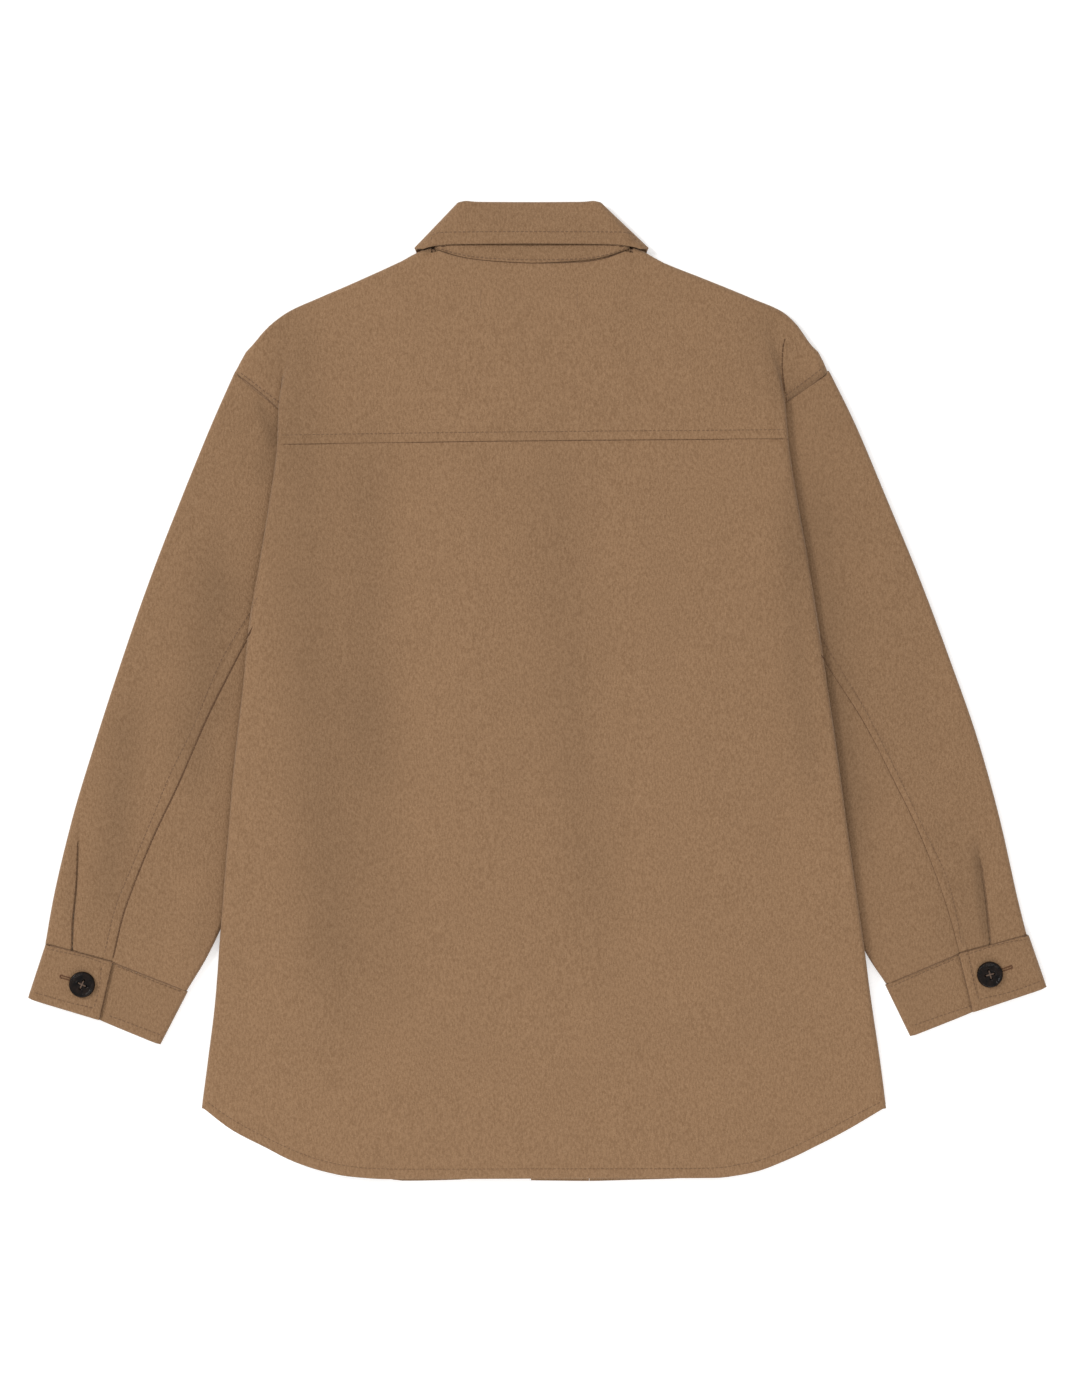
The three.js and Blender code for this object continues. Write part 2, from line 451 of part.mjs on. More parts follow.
function placket(side) {
  const grid = [], level = side < 0 ? PLACKET_L : PLACKET_R;
  for (let i = 0; i <= 10; i += 1) {
    grid.push([0, 0.5, 1].map((u) => {
      let x = 0, y = 0;
      for (let n = 0; n < 6; n += 1) {
        x = centreX(y) + mix(-1, 1, u) * (PLACKET_HALF - GAP / 2);
        const end = side < 0 ? read(HEM, 'x', x, 'y') - 0.4 : hemY(1, Math.max(x, -5.7));
        y = mix(read(NECKLINE, 'off', side * (x - 3.3), 'y') - 0.2, end, i / 10);
      }
      return [x, y, level];
    }));
  }
  return wall(grid);
}

// ---------------------------------------------------------------- sleeves
// Middle of a sleeve's top layer: low under the body, fuller in the open, easing to the cuff.
function sleeveZ(side, x, y) {
  const out = (x - sideX(side, Math.max(y, -339))) * side;
  const open = ease((out - 1) / 40);
  const low = mix(SLEEVE_LOW, 6.9, ease((y - 234) / 12));
  const end = ease((-150 - y) / 70);
  return mix(low, mix(SLEEVE_FULL, 6.9, end), open) + soft(SLEEVE_SOFT, x, y);
}
const edgePoint = (t, f, k) => [row(t, f, k + 'x'), row(t, f, k + 'y')];
// Top face of the upper sleeve or of the under sleeve: rows between the edges, bent to the armhole at the start.
function facePoint(side, v, from, to, u) {
  const t = sleeveRows(side), a = edgePoint(t, v, from), b = edgePoint(t, v, to);
  const a0 = edgePoint(t, 0, from), b0 = edgePoint(t, 0, to);
  const y0 = mix(a0[1], b0[1], u), x0 = mix(a0[0], b0[0], u);
  const bend = (1 - v) ** 6;
  const onSeam = mix(armX(side, y0) + side * (from === 'o' ? HIDDEN : GAP), x0, ease((72 - y0) / 16));
  return [mix(a[0], b[0], u) + bend * (onSeam - x0), mix(a[1], b[1], u)];
}
const LOWER = [0, 0.08, 0.16, 0.25, 0.35, 0.46, 0.57, 0.68, 0.79, 0.9, 1];   // columns of a sleeve's lower layer
function sleeveUpper(side) {
  const rowsN = 12, faceN = 5, arcN = 5, grid = [];
  for (let i = 0; i <= rowsN; i += 1) {
    const v = i / rowsN, line = [];
    const t = sleeveRows(side), last = t[t.length - 1], o = edgePoint(t, v, 'o'), s = edgePoint(t, v, 's');
    const far = Math.hypot(s[0] - o[0], s[1] - o[1]), way = [(s[0] - o[0]) / far, (s[1] - o[1]) / far], inset = CLOTH / 2 + 3;
    for (let j = 0; j <= faceN; j += 1) {
      const [x, y] = facePoint(side, v, 's', 'o', j / faceN), share = j / faceN;
      const px = x + way[0] * inset * share ** 6 + (j === 0 ? side * GAP / 2 : 0);
      line.push([px, y + way[1] * inset * share ** 6, sleeveZ(side, px, y)]);
    }
    const [ex, ey, ez] = line[line.length - 1], low = CLOTH / 2, r = (ez - low) / 2;
    for (let k = 1; k <= arcN; k += 1) {
      const th = Math.PI * k / (arcN + 1);
      line.push([ex - way[0] * 3 * Math.sin(th), ey - way[1] * 3 * Math.sin(th), low + r + r * Math.cos(th)]);
    }
    for (const u of LOWER) {
      const [x, y] = facePoint(side, v, 'o', 'i', u);
      const part = u <= LOWER[5] ? mix(last.oy, last.sy, u / LOWER[5]) : mix(last.sy, last.iy, (u - LOWER[5]) / (1 - LOWER[5]));
      const toCuff = v ** 8 * (part - mix(last.oy, last.iy, u));
      line.push([x + way[0] * inset * (1 - u) ** 12 + (u === 1 ? side * 4.2 : 0), y + way[1] * inset * (1 - u) ** 12 + toCuff, low]);
    }
    grid.push(line);
  }
  return wall(grid);
}
function sleeveUnder(side) {
  const rowsN = 12, faceN = 4, arcN = 4, grid = [];
  for (let i = 0; i <= rowsN; i += 1) {
    const v = i / rowsN, line = [];
    for (let j = 0; j <= faceN; j += 1) {
      const u = j / faceN, [x, y] = facePoint(side, v, 's', 'i', u);
      const px = x + (j === 0 ? -side * GAP / 2 : 0) + side * 3.4 * u;
      line.push([px, y, sleeveZ(side, px, y)]);
    }
    const [ex, ey, ez] = line[line.length - 1], low = CLOTH / 2, r = (ez - low) / 2;
    for (let k = 1; k <= arcN; k += 1) {
      const th = Math.PI * k / arcN * 0.9;
      line.push([ex - side * 2.2 * Math.sin(th), ey, low + r + r * Math.cos(th)]);
    }
    grid.push(line);
  }
  return wall(grid);
}

// ---------------------------------------------------------------- cuffs
function cuffLine(side, v) {
  const [a, b] = side < 0 ? CUFF_L : CUFF_R, at = (k) => [mix(a[k + 'x'], b[k + 'x'], v), mix(a[k + 'y'] - (k === 'i' ? 1.7 : 0.8), b[k + 'y'], v)];
  const o = at('o'), f = at('f'), i = at('i'), low = CLOTH / 2, tab = low + 2 * PLY + 1.8, lap = tab - PLY;
  const far = Math.hypot(f[0] - o[0], f[1] - o[1]), way = [(f[0] - o[0]) / far, (f[1] - o[1]) / far];
  const rest = Math.hypot(i[0] - f[0], i[1] - f[1]), on = [(i[0] - f[0]) / rest, (i[1] - f[1]) / rest];
  const line = [], push = (p, z, inset) => {
    const d = inset < 0 ? on : way;
    line.push([p[0] + d[0] * inset, p[1] + d[1] * inset, z]);
  };
  for (let k = 0; k <= 3; k += 1) push(mixP(f, o, k / 3), tab, 4.4 * k / 3);
  for (let k = 1; k <= 4; k += 1) { const th = Math.PI * k / 5; push(o, mix(low, tab, (1 + Math.cos(th)) / 2), 4.4 - 3.3 * Math.sin(th)); }
  for (let k = 0; k <= 4; k += 1) push(k < 2 ? mixP(o, f, k / 2) : mixP(f, i, (k - 2) / 2), low, k < 2 ? mix(4.4, 0, k / 2) : mix(0, -3.5, (k - 2) / 2));
  for (let k = 1; k <= 4; k += 1) { const th = Math.PI * k / 5; push(i, mix(lap, low, (1 + Math.cos(th)) / 2), -3.5 + 2.4 * Math.sin(th)); }
  for (let k = 0; k <= 3; k += 1) push(k < 3 ? mixP(i, f, k / 2.2) : mixP(f, o, UNDERLAP), lap, k < 3 ? -3.5 * (1 - k / 2.2) : 0);
  return line;
}
const cuff = (side) => wall([0, 0.5, 1].map((v) => cuffLine(side, v)));

// ---------------------------------------------------------------- collar
const collarRow = (side, f) => {
  const g = (c) => row(COLLAR, f, c), flip = (x) => (side < 0 ? x : -x - 8);
  const turn = g('turn') * Math.PI / 180, r0 = g('r');
  const n = [g('nx'), g('ny'), g('nz')];
  if (g('turn') > 150) n[2] = Math.max(n[2], frontZ(side, flip(n[0]), n[1] - 1));
  const lift = Math.max(0, n[2] - g('nz'));
  const slim = (x, k) => (side < 0 ? x : -4 + (x + 4) * k);   // the wearer's right half is a little narrower
  const roll = [slim(g('rx'), 0.925), g('ry'), g('rz') + lift / 2], e = [slim(g('ex'), 0.99), g('ey'), g('ez')];
  const r = r0 + lift / 2;
  const d = [roll[0] - n[0], roll[1] - n[1]], long = Math.hypot(...d), dir = [d[0] / long, d[1] / long];
  const out = [-0.74 * Math.sin(turn), 0.67 * Math.sin(turn), Math.cos(turn)];
  const c = [roll[0] - dir[0] * r, roll[1] - dir[1] * r, roll[2]];
  const arc = [];
  for (let k = 0; k <= 4; k += 1) {
    const th = Math.PI * k / 4, s = -r * Math.cos(th), b = r * Math.sin(th);
    arc.push([c[0] + out[0] * s + dir[0] * b, c[1] + out[1] * s + dir[1] * b, c[2] + out[2] * s]);
  }
  return { n, arc, e, dir, flip, up: g('up') };
};
function collarGrid(make) {
  const half = (side) => {
    const list = [];
    for (let k = 0; k <= 15; k += 1) {
      const c = collarRow(side, k / 15);
      list.push(make(c).map(([x, y, z]) => [c.flip(x), y, z]));
    }
    return list;
  };
  return [...half(-1).reverse(), ...half(1).slice(1)];
}
const fall = () => wall(collarGrid(({ arc, e }) => [...arc, mixP(arc[4], e, 0.35), mixP(arc[4], e, 0.7), e]));
function stand() {
  const grid = collarGrid(({ n, arc, dir, up }) => {
    const a = [n[0] + dir[0] * 1.2, n[1] + dir[1] * 1.2, n[2]];
    const b = [arc[0][0] - dir[0] * (CLOTH / 2 + GAP), arc[0][1] - dir[1] * (CLOTH / 2 + GAP), arc[0][2]];
    return [a, mixP(a, b, 0.5 * up), mixP(a, b, up)];
  });
  return wall(grid);
}

// ---------------------------------------------------------------- buttons
function button(x, y, z0) {
  const disc = new THREE.Shape();
  disc.absarc(0, 0, BUTTON_D / 2, 0, Math.PI * 2, false);
  for (const [sx, sy] of [[1, 1], [-1, 1], [-1, -1], [1, -1]]) {
    const h = new THREE.Path();
    h.absarc(sx * HOLE_OFF, sy * HOLE_OFF, HOLE_D / 2, 0, Math.PI * 2, true);
    disc.holes.push(h);
  }
  const g = new THREE.ExtrudeGeometry(disc, {
    depth: BUTTON_T - 0.8, bevelEnabled: true, bevelThickness: 0.4, bevelSize: 0.4, bevelOffset: -0.4, bevelSegments: 1, curveSegments: 10,
  });
  g.translate(x, y, z0 + 0.4);
  return g;
}

// ---------------------------------------------------------------- the garment
const parts = [];
const add = (label, geometry, colour, rough) => {
  const mesh = new THREE.Mesh(geometry, new THREE.MeshStandardMaterial({ color: colour, roughness: rough }));
  mesh.name = label;
  parts.push(mesh);
};
const WOOL = 0x94735a, HORN = 0x1c1512;
add('back_yoke', yoke(), WOOL, 0.95);
add('back_panel', backPanel(), WOOL, 0.95);
for (const side of [-1, 1]) {
  add(`front_${name(side)}`, front(side), WOOL, 0.95);
  add(`placket_${name(side)}`, placket(side), WOOL, 0.95);
  add(`sleeve_${name(side)}_upper`, sleeveUpper(side), WOOL, 0.95);
  add(`sleeve_${name(side)}_under`, sleeveUnder(side), WOOL, 0.95);
  add(`cuff_${name(side)}`, cuff(side), WOOL, 0.95);
}
add('collar_stand', stand(), WOOL, 0.95);
add('collar_fall', fall(), WOOL, 0.95);
for (const b of CUFF_BUTTONS) add(b.name, button(b.x, b.y, CLOTH / 2 + 2 * PLY + 1.8 + CLOTH / 2 + GAP), HORN, 0.35);
for (let k = 0; k < FRONT_BUTTONS.count; k += 1) {
  const y = FRONT_BUTTONS.first - k * FRONT_BUTTONS.step;
  add(`front_button_${k + 1}`, button(centreX(y), y, 0), HORN, 0.35);
}

const group = new THREE.Group();
group.name = 'shacket';
parts.forEach((p) => group.add(p));
export default group;
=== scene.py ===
# A felted shacket laid flat and face down, seen from straight above.
# Metres in the scene; the tables and the functions that shape the cloth work in millimetres.
import math
import random
import bpy
import numpy as np
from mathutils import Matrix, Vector
from mathutils.bvhtree import BVHTree


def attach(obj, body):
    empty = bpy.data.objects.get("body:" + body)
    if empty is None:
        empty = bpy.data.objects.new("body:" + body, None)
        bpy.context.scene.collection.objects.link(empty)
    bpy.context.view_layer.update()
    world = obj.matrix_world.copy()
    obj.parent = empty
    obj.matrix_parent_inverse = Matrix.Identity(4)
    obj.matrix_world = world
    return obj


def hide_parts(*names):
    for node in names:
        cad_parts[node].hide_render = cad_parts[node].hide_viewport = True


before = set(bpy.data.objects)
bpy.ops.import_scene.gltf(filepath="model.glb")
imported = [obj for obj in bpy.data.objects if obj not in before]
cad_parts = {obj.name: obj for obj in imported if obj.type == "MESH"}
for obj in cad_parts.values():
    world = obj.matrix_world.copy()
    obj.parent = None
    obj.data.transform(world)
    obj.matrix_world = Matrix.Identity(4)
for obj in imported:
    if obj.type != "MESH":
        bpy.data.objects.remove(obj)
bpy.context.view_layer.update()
random.seed(7)

# ---------------------------------------------------------------- sizes
CLOTH, GAP = 2.2, 0.3
PLY = CLOTH + 0.4
LAPEL_LIFT = PLY + 0.3
SLEEVE_LOW = CLOTH / 2 + 4.2
SLEEVE_FULL = 7.1
HIDDEN = 1.0
OVER_SLEEVE = SLEEVE_LOW + PLY
BACK_MID = 12.8
BUTTON_D, BUTTON_T, HOLE_D, HOLE_OFF = 21.3, 3.2, 2.3, 2.4
PLACKET_HALF = 24
CF = dict(yTop=284, xTop=3.3, yEnd=-400, xEnd=18.9)
PLACKET_R = BUTTON_T + 0.4 + CLOTH / 2
PLACKET_L = PLACKET_R + PLY
RISE = 42
SLEEVE_RAMP = 14
UNDERARM = 57
WRAP = 4.0
UNDERLAP = 0.5
FRONT_BUTTONS = dict(first=262, step=103, count=6)

# ---------------------------------------------------------------- tables
SIDE = [
    dict(y=312.8, left=-202.5, right=200.1),
    dict(y=284.1, left=-206.5, right=200.5),
    dict(y=259.5, left=-209.9, right=201.7),
    dict(y=234.9, left=-212.0, right=203.8),
    dict(y=202.9, left=-213.2, right=206.6),
    dict(y=157.0, left=-219.3, right=213.6),
    dict(y=107.8, left=-227.5, right=222.6),
    dict(y=58.6, left=-235.8, right=230.4),
    dict(y=-7.0, left=-242.7, right=240.3),
    dict(y=-72.6, left=-249.7, right=249.3),
    dict(y=-138.2, left=-255.0, right=258.3),
    dict(y=-203.8, left=-260.3, right=267.7),
    dict(y=-253.0, left=-264.4, right=274.7),
    dict(y=-302.2, left=-270.6, right=282.1),
    dict(y=-339.9, left=-275.5, right=287.0),
]
SHOULDER = [
    dict(x=-248.0, y=262.0),
    dict(x=-240.3, y=273.5),
    dict(x=-233.7, y=283.3),
    dict(x=-226.3, y=293.1),
    dict(x=-216.5, y=303.0),
    dict(x=-202.5, y=312.8),
    dict(x=-180.4, y=322.7),
    dict(x=-157.4, y=332.5),
    dict(x=-135.3, y=342.3),
    dict(x=-113.2, y=352.2),
    dict(x=-86.9, y=363.7),
    dict(x=78.7, y=363.7),
    dict(x=103.3, y=352.2),
    dict(x=128.7, y=342.3),
    dict(x=153.3, y=332.5),
    dict(x=177.1, y=322.7),
    dict(x=200.1, y=312.8),
    dict(x=211.6, y=303.0),
    dict(x=218.9, y=293.1),
    dict(x=225.5, y=283.3),
    dict(x=232.9, y=273.5),
    dict(x=240.3, y=262.0),
]
NECK = [
    dict(x=-86.9, y=363.7),
    dict(x=-73.0, y=358.3),
    dict(x=-54.9, y=354.2),
    dict(x=-30.3, y=351.8),
    dict(x=2.5, y=350.5),
    dict(x=35.3, y=351.4),
    dict(x=54.9, y=354.2),
    dict(x=68.1, y=358.8),
    dict(x=78.7, y=363.7),
]
YOKE = [
    dict(x=-220, y=202.4),
    dict(x=-4, y=205.6),
    dict(x=212, y=207.2),
]
FORWARD = [
    dict(side=-1, xArm=-230.4, yArm=246.4, xNeck=-79.0, yNeck=329.0),
    dict(side=1, xArm=222.2, yArm=250.5, xNeck=72.0, yNeck=329.0),
]
NECKLINE = [
    dict(off=82.0, y=329.0),
    dict(off=70.0, y=310.0),
    dict(off=48.0, y=293.0),
    dict(off=26.0, y=286.5),
    dict(off=-26.0, y=284.0),
]
HEM = [
    dict(x=-275.5, y=-339.9),
    dict(x=-250.9, y=-358.8),
    dict(x=-225.5, y=-371.9),
    dict(x=-197.6, y=-385.0),
    dict(x=-177.9, y=-391.5),
    dict(x=-153.3, y=-396.5),
    dict(x=-120.5, y=-398.6),
    dict(x=-5.7, y=-398.2),
    dict(x=146.0, y=-397.6),
    dict(x=166.5, y=-395.2),
    dict(x=182.0, y=-391.8),
    dict(x=200.1, y=-385.0),
    dict(x=229.6, y=-371.9),
    dict(x=255.0, y=-358.8),
    dict(x=287.0, y=-339.9),
]
LONGER = [
    dict(x=-290, by=0),
    dict(x=-140, by=0),
    dict(x=-108, by=3.8),
    dict(x=-70, by=3.2),
    dict(x=-26, by=0.4),
]
LONGER_R = [
    dict(x=-6, by=3.4),
    dict(x=45, by=4.0),
    dict(x=100, by=3.2),
    dict(x=150, by=0.8),
    dict(x=170, by=0),
    dict(x=300, by=0),
]
ARMHOLE = [
    dict(y=262.0, left=-248.0, right=240.3),
    dict(y=246.4, left=-230.4, right=218.0),
    dict(y=232.0, left=-212.4, right=199.0),
    dict(y=206.2, left=-200.9, right=193.5),
    dict(y=169.3, left=-191.9, right=185.3),
    dict(y=116.0, left=-188.5, right=182.0),
    dict(y=85.0, left=-184.0, right=177.5),
    dict(y=57.0, left=-175.0, right=168.5),
]
FOLD = [
    dict(y=312.0, run=22, swell=0.0, low=7.6, high=8.0),
    dict(y=284.0, run=18, swell=0.0, low=7.4, high=9.2),
    dict(y=262.0, run=9, swell=0.0, low=7.2, high=12.0),
    dict(y=246.0, run=3, swell=1.4, low=7.2, high=13.6),
    dict(y=232.0, run=0, swell=3.0, low=8.0, high=13.9),
    dict(y=222.0, run=0, swell=3.0, low=7.9, high=13.9),
    dict(y=-200.0, run=0, swell=3.0, low=7.9, high=13.9),
    dict(y=-260.0, run=0, swell=3.0, low=2.6, high=9.6),
    dict(y=-340.0, run=0, swell=3.0, low=1.1, high=7.1),
]
SIDE_SEAM = [
    dict(y=57.0, left=59.8, right=60.9),
    dict(y=20.0, left=46, right=46),
    dict(y=-30.0, left=34, right=34),
    dict(y=-130.0, left=20, right=20),
    dict(y=-240.0, left=9, right=9),
    dict(y=-340.0, left=3.4, right=3.4),
]
BACK = [
    dict(y=364, mid=11.6),
    dict(y=300, mid=12.6),
    dict(y=200, mid=BACK_MID),
    dict(y=-200, mid=BACK_MID),
    dict(y=-330, mid=11.8),
    dict(y=-400, mid=11.0),
]
SOFT = [
    dict(x1=-122, y1=182, x2=-150, y2=-240, rise=-2.4, wide=42),
    dict(x1=-4, y1=182, x2=50, y2=-90, rise=-1.5, wide=34),
    dict(x1=-58, y1=150, x2=-45, y2=-200, rise=1.3, wide=36),
    dict(x1=130, y1=120, x2=150, y2=-260, rise=0.9, wide=50),
]
SLEEVE_L = [
    dict(ox=-248.0, oy=262.0, sx=-191.9, sy=169.3, ix=-186.0, iy=48.0),
    dict(ox=-265.7, oy=222.6, sx=-198.5, sy=121.0, ix=-198.0, iy=20.0),
    dict(ox=-292.7, oy=157.0, sx=-222.0, sy=73.0, ix=-207.5, iy=-10.0),
    dict(ox=-318.2, oy=91.4, sx=-248.0, sy=25.0, ix=-215.0, iy=-50.0),
    dict(ox=-341.1, oy=25.8, sx=-272.0, sy=-23.0, ix=-227.5, iy=-96.0),
    dict(ox=-362.4, oy=-39.8, sx=-294.5, sy=-75.0, ix=-240.0, iy=-138.0),
    dict(ox=-382.1, oy=-105.4, sx=-318.0, sy=-125.0, ix=-252.0, iy=-176.0),
    dict(ox=-397.6, oy=-171.0, sx=-341.0, sy=-186.0, ix=-270.0, iy=-216.0),
    dict(ox=-403.9, oy=-206.8, sx=-349.0, sy=-221.4, ix=-287.0, iy=-244.6),
]
SLEEVE_R = [
    dict(ox=240.3, oy=262.0, sx=185.3, sy=171.8, ix=179.5, iy=48.0),
    dict(ox=259.9, oy=222.6, sx=192.0, sy=110.0, ix=192.0, iy=20.0),
    dict(ox=287.8, oy=157.0, sx=216.0, sy=58.0, ix=203.5, iy=-10.0),
    dict(ox=314.9, oy=91.4, sx=242.5, sy=15.0, ix=212.5, iy=-50.0),
    dict(ox=339.5, oy=25.8, sx=267.5, sy=-24.0, ix=226.0, iy=-96.0),
    dict(ox=362.4, oy=-39.8, sx=292.0, sy=-71.0, ix=240.0, iy=-140.0),
    dict(ox=380.5, oy=-105.4, sx=316.0, sy=-121.0, ix=254.0, iy=-179.0),
    dict(ox=395.2, oy=-171.0, sx=338.0, sy=-181.5, ix=271.0, iy=-216.0),
    dict(ox=402.6, oy=-200.5, sx=346.9, sy=-214.4, ix=286.2, iy=-239.0),
]
SLEEVE_SOFT = [
    dict(x1=-377.5, y1=-125, x2=-382.5, y2=-206, rise=-1.8, wide=5),
    dict(x1=-317, y1=26, x2=-342, y2=-105, rise=-1.6, wide=20),
    dict(x1=366, y1=-135, x2=372.5, y2=-199, rise=-1.8, wide=6),
    dict(x1=322, y1=30, x2=345, y2=-90, rise=-1.2, wide=18),
]
CUFF_L = [
    dict(ox=-403.9, oy=-207.2, fx=-349.0, fy=-221.8, ix=-287.0, iy=-245.0),
    dict(ox=-418.2, oy=-251.6, fx=-359.8, fy=-269.2, ix=-309.4, iy=-290.0),
]
CUFF_R = [
    dict(ox=404.2, oy=-199.6, fx=346.9, fy=-214.8, ix=286.2, iy=-239.4),
    dict(ox=418.8, oy=-242.6, fx=358.3, fy=-262.8, ix=306.7, iy=-283.3),
]
CUFF_BUTTONS = [
    dict(name="cuff_button_left", x=-373.1, y=-240.4),
    dict(name='cuff_button_right', x=371.5, y=-232.2),
]
COLLAR = [
    dict(nx=-4.0, ny=350.8, nz=11.9, rx=-4.0, ry=401.1, rz=4.0, ex=-4.0, ey=367.8, ez=12.4, turn=0, r=2.1, up=1),
    dict(nx=-30.0, ny=352.1, nz=11.9, rx=-27.0, ry=401.1, rz=4.6, ex=-38.0, ey=367.6, ez=12.4, turn=0, r=2.1, up=1),
    dict(nx=-55.0, ny=354.6, nz=11.6, rx=-47.0, ry=401.0, rz=6.4, ex=-70.0, ey=367.2, ez=12.2, turn=0, r=2.1, up=1),
    dict(nx=-72.0, ny=358.6, nz=11.0, rx=-58.0, ry=401.6, rz=7.8, ex=-88.0, ey=365.2, ez=11.6, turn=0, r=2.1, up=0.9),
    dict(nx=-81.5, ny=362.0, nz=9.8, rx=-62.0, ry=400.6, rz=7.6, ex=-95.5, ey=363.2, ez=10.0, turn=40, r=2.0, up=0.6),
    dict(nx=-84.0, ny=363.2, nz=7.0, rx=-63.3, ry=399.6, rz=5.2, ex=-100.0, ey=363.6, ez=5.4, turn=90, r=1.8, up=0.5),
    dict(nx=-81.0, ny=361.0, nz=4.3, rx=-62.5, ry=396.5, rz=3.0, ex=-98.5, ey=358.5, ez=1.1, turn=160, r=1.3, up=0.5),
    dict(nx=-78.5, ny=348.0, nz=3.7, rx=-57.0, ry=386.0, rz=2.4, ex=-92.0, ey=340.0, ez=1.1, turn=180, r=1.3, up=0.6),
    dict(nx=-77.5, ny=330.0, nz=3.7, rx=-46.0, ry=364.0, rz=2.4, ex=-81.0, ey=302.0, ez=1.1, turn=180, r=1.3, up=0.9),
    dict(nx=-64.0, ny=310.0, nz=3.7, rx=-31.0, ry=338.0, rz=2.4, ex=-72.0, ey=270.0, ez=1.1, turn=180, r=1.3, up=1),
    dict(nx=-42.0, ny=293.2, nz=3.7, rx=-16.0, ry=315.0, rz=2.4, ex=-67.0, ey=251.0, ez=1.1, turn=180, r=1.3, up=1),
]
LEAF = [
    dict(x=-62, y=404),
    dict(x=-103, y=364),
    dict(x=-68, y=248),
    dict(x=4, y=300),
]
# Smaller creases of the back, only in the cloth's own surface.
FINE = [
    dict(x1=-196, y1=196, x2=-160, y2=60, rise=0.7, wide=16),
    dict(x1=-206, y1=120, x2=-176, y2=-60, rise=-0.6, wide=14),
    dict(x1=196, y1=180, x2=176, y2=20, rise=0.6, wide=15),
    dict(x1=214, y1=40, x2=196, y2=-150, rise=-0.8, wide=12),
    dict(x1=60, y1=-120, x2=90, y2=-330, rise=-0.6, wide=26),
    dict(x1=-200, y1=-190, x2=-214, y2=-330, rise=0.6, wide=20),
    dict(x1=-90, y1=340, x2=-176, y2=250, rise=0.5, wide=22),
    dict(x1=96, y1=330, x2=170, y2=240, rise=-0.5, wide=18),
    dict(x1=0, y1=-230, x2=14, y2=-370, rise=0.5, wide=22),
]


# ---------------------------------------------------------------- helpers
def clamp(v, a, b):
    return min(b, max(a, v))


def mix(a, b, f):
    return a + (b - a) * f


def ease(f):
    c = clamp(f, 0.0, 1.0)
    return c * c * (3 - 2 * c)


def mixp(a, b, f):
    return [mix(p, q, f) for p, q in zip(a, b)]


_curves = {}


def read(table, key, at, col):
    """A column of a table at a value of its key, as a smooth curve that never overshoots."""
    k = (id(table), key, col)
    if k not in _curves:
        t = sorted(((r[key], r[col]) for r in table))
        n = len(t)
        slope = [(t[i + 1][1] - t[i][1]) / (t[i + 1][0] - t[i][0]) for i in range(n - 1)]
        tan = [slope[0]] + [0 if a * b <= 0 else 2 * a * b / (a + b) for a, b in zip(slope, slope[1:])] + [slope[-1]]
        _curves[k] = (t, tan, table)
    t, tan, _ = _curves[k]
    if at <= t[0][0]:
        return t[0][1]
    if at >= t[-1][0]:
        return t[-1][1]
    i = 0
    while at > t[i + 1][0]:
        i += 1
    h = t[i + 1][0] - t[i][0]
    f = (at - t[i][0]) / h
    f2, f3 = f * f, f * f * f
    return t[i][1] * (2 * f3 - 3 * f2 + 1) + t[i + 1][1] * (3 * f2 - 2 * f3) + h * (tan[i] * (f3 - 2 * f2 + f) + tan[i + 1] * (f3 - f2))


_rows = {}


def row(table, f, col):
    k = (id(table), col)
    if k not in _rows:
        _rows[k] = [dict(i=i / (len(table) - 1), v=r[col]) for i, r in enumerate(table)]
    return read(_rows[k], "i", f, "v")


def respace(line, at):
    """Points along a line at the given shares of its length."""
    p = np.array(line, float)
    far = np.concatenate([[0], np.cumsum(np.linalg.norm(np.diff(p, axis=0), axis=1))])
    far /= far[-1]
    return [[float(np.interp(a, far, p[:, k])) for k in range(3)] for a in at]


def soft(table, x, y):
    total = 0.0
    for s in table:
        dx, dy = s["x2"] - s["x1"], s["y2"] - s["y1"]
        far = math.hypot(dx, dy)
        f = ((x - s["x1"]) * dx + (y - s["y1"]) * dy) / (far * far)
        if f < -0.25 or f > 1.15:
            continue
        d = abs((x - s["x1"]) * dy - (y - s["y1"]) * dx) / far
        if d < 3 * s["wide"]:
            total += s["rise"] * ease((f + 0.25) / 0.4) * ease((1.15 - f) / 0.35) * math.exp(-(d * d) / (s["wide"] * s["wide"]))
    return total


# Shares of a length, close together near both ends so that an edge can roll and a stitched band stand out.
BAND = [0, 0.5, 1.2, 2.4, 5.6, 6.8, 7.6, 8.6, 11.5]


def shares(length, step, start=True, end=True):
    a = [v / length for v in BAND] if start else [0.0]
    b = [1 - v / length for v in reversed(BAND)] if end else [1.0]
    n = max(2, round((b[0] - a[-1]) * length / step))
    return a[:-1] + [mix(a[-1], b[0], k / n) for k in range(n + 1)] + b[1:]


def band(d, stitched=True):
    """Height of a seam's edge at d from it: rolled at the edge, a low ridge to the topstitch, a groove there."""
    z = -0.75 * math.exp(-d / 0.9)
    if stitched:
        z += 0.30 * math.exp(-((d - 3.6) / 2.6) ** 2) - 0.38 * math.exp(-((d - 7.4) / 0.9) ** 2)
    return z


def side_name(side):
    return "left" if side < 0 else "right"


def side_x(side, y):
    return read(SIDE, "y", y, side_name(side)) - side * CLOTH / 2


def arm_x(side, y):
    return read(ARMHOLE, "y", y, side_name(side))


def centre_x(y):
    return mix(CF["xTop"], CF["xEnd"], (y - CF["yTop"]) / (CF["yEnd"] - CF["yTop"]))


def sleeve_rows(side):
    return SLEEVE_L if side < 0 else SLEEVE_R


def inner_x(side, y):
    return read(sleeve_rows(side), "iy", y, "ix")


def seam_x(side, y):
    return side_x(side, y) - side * read(SIDE_SEAM, "y", y, side_name(side))


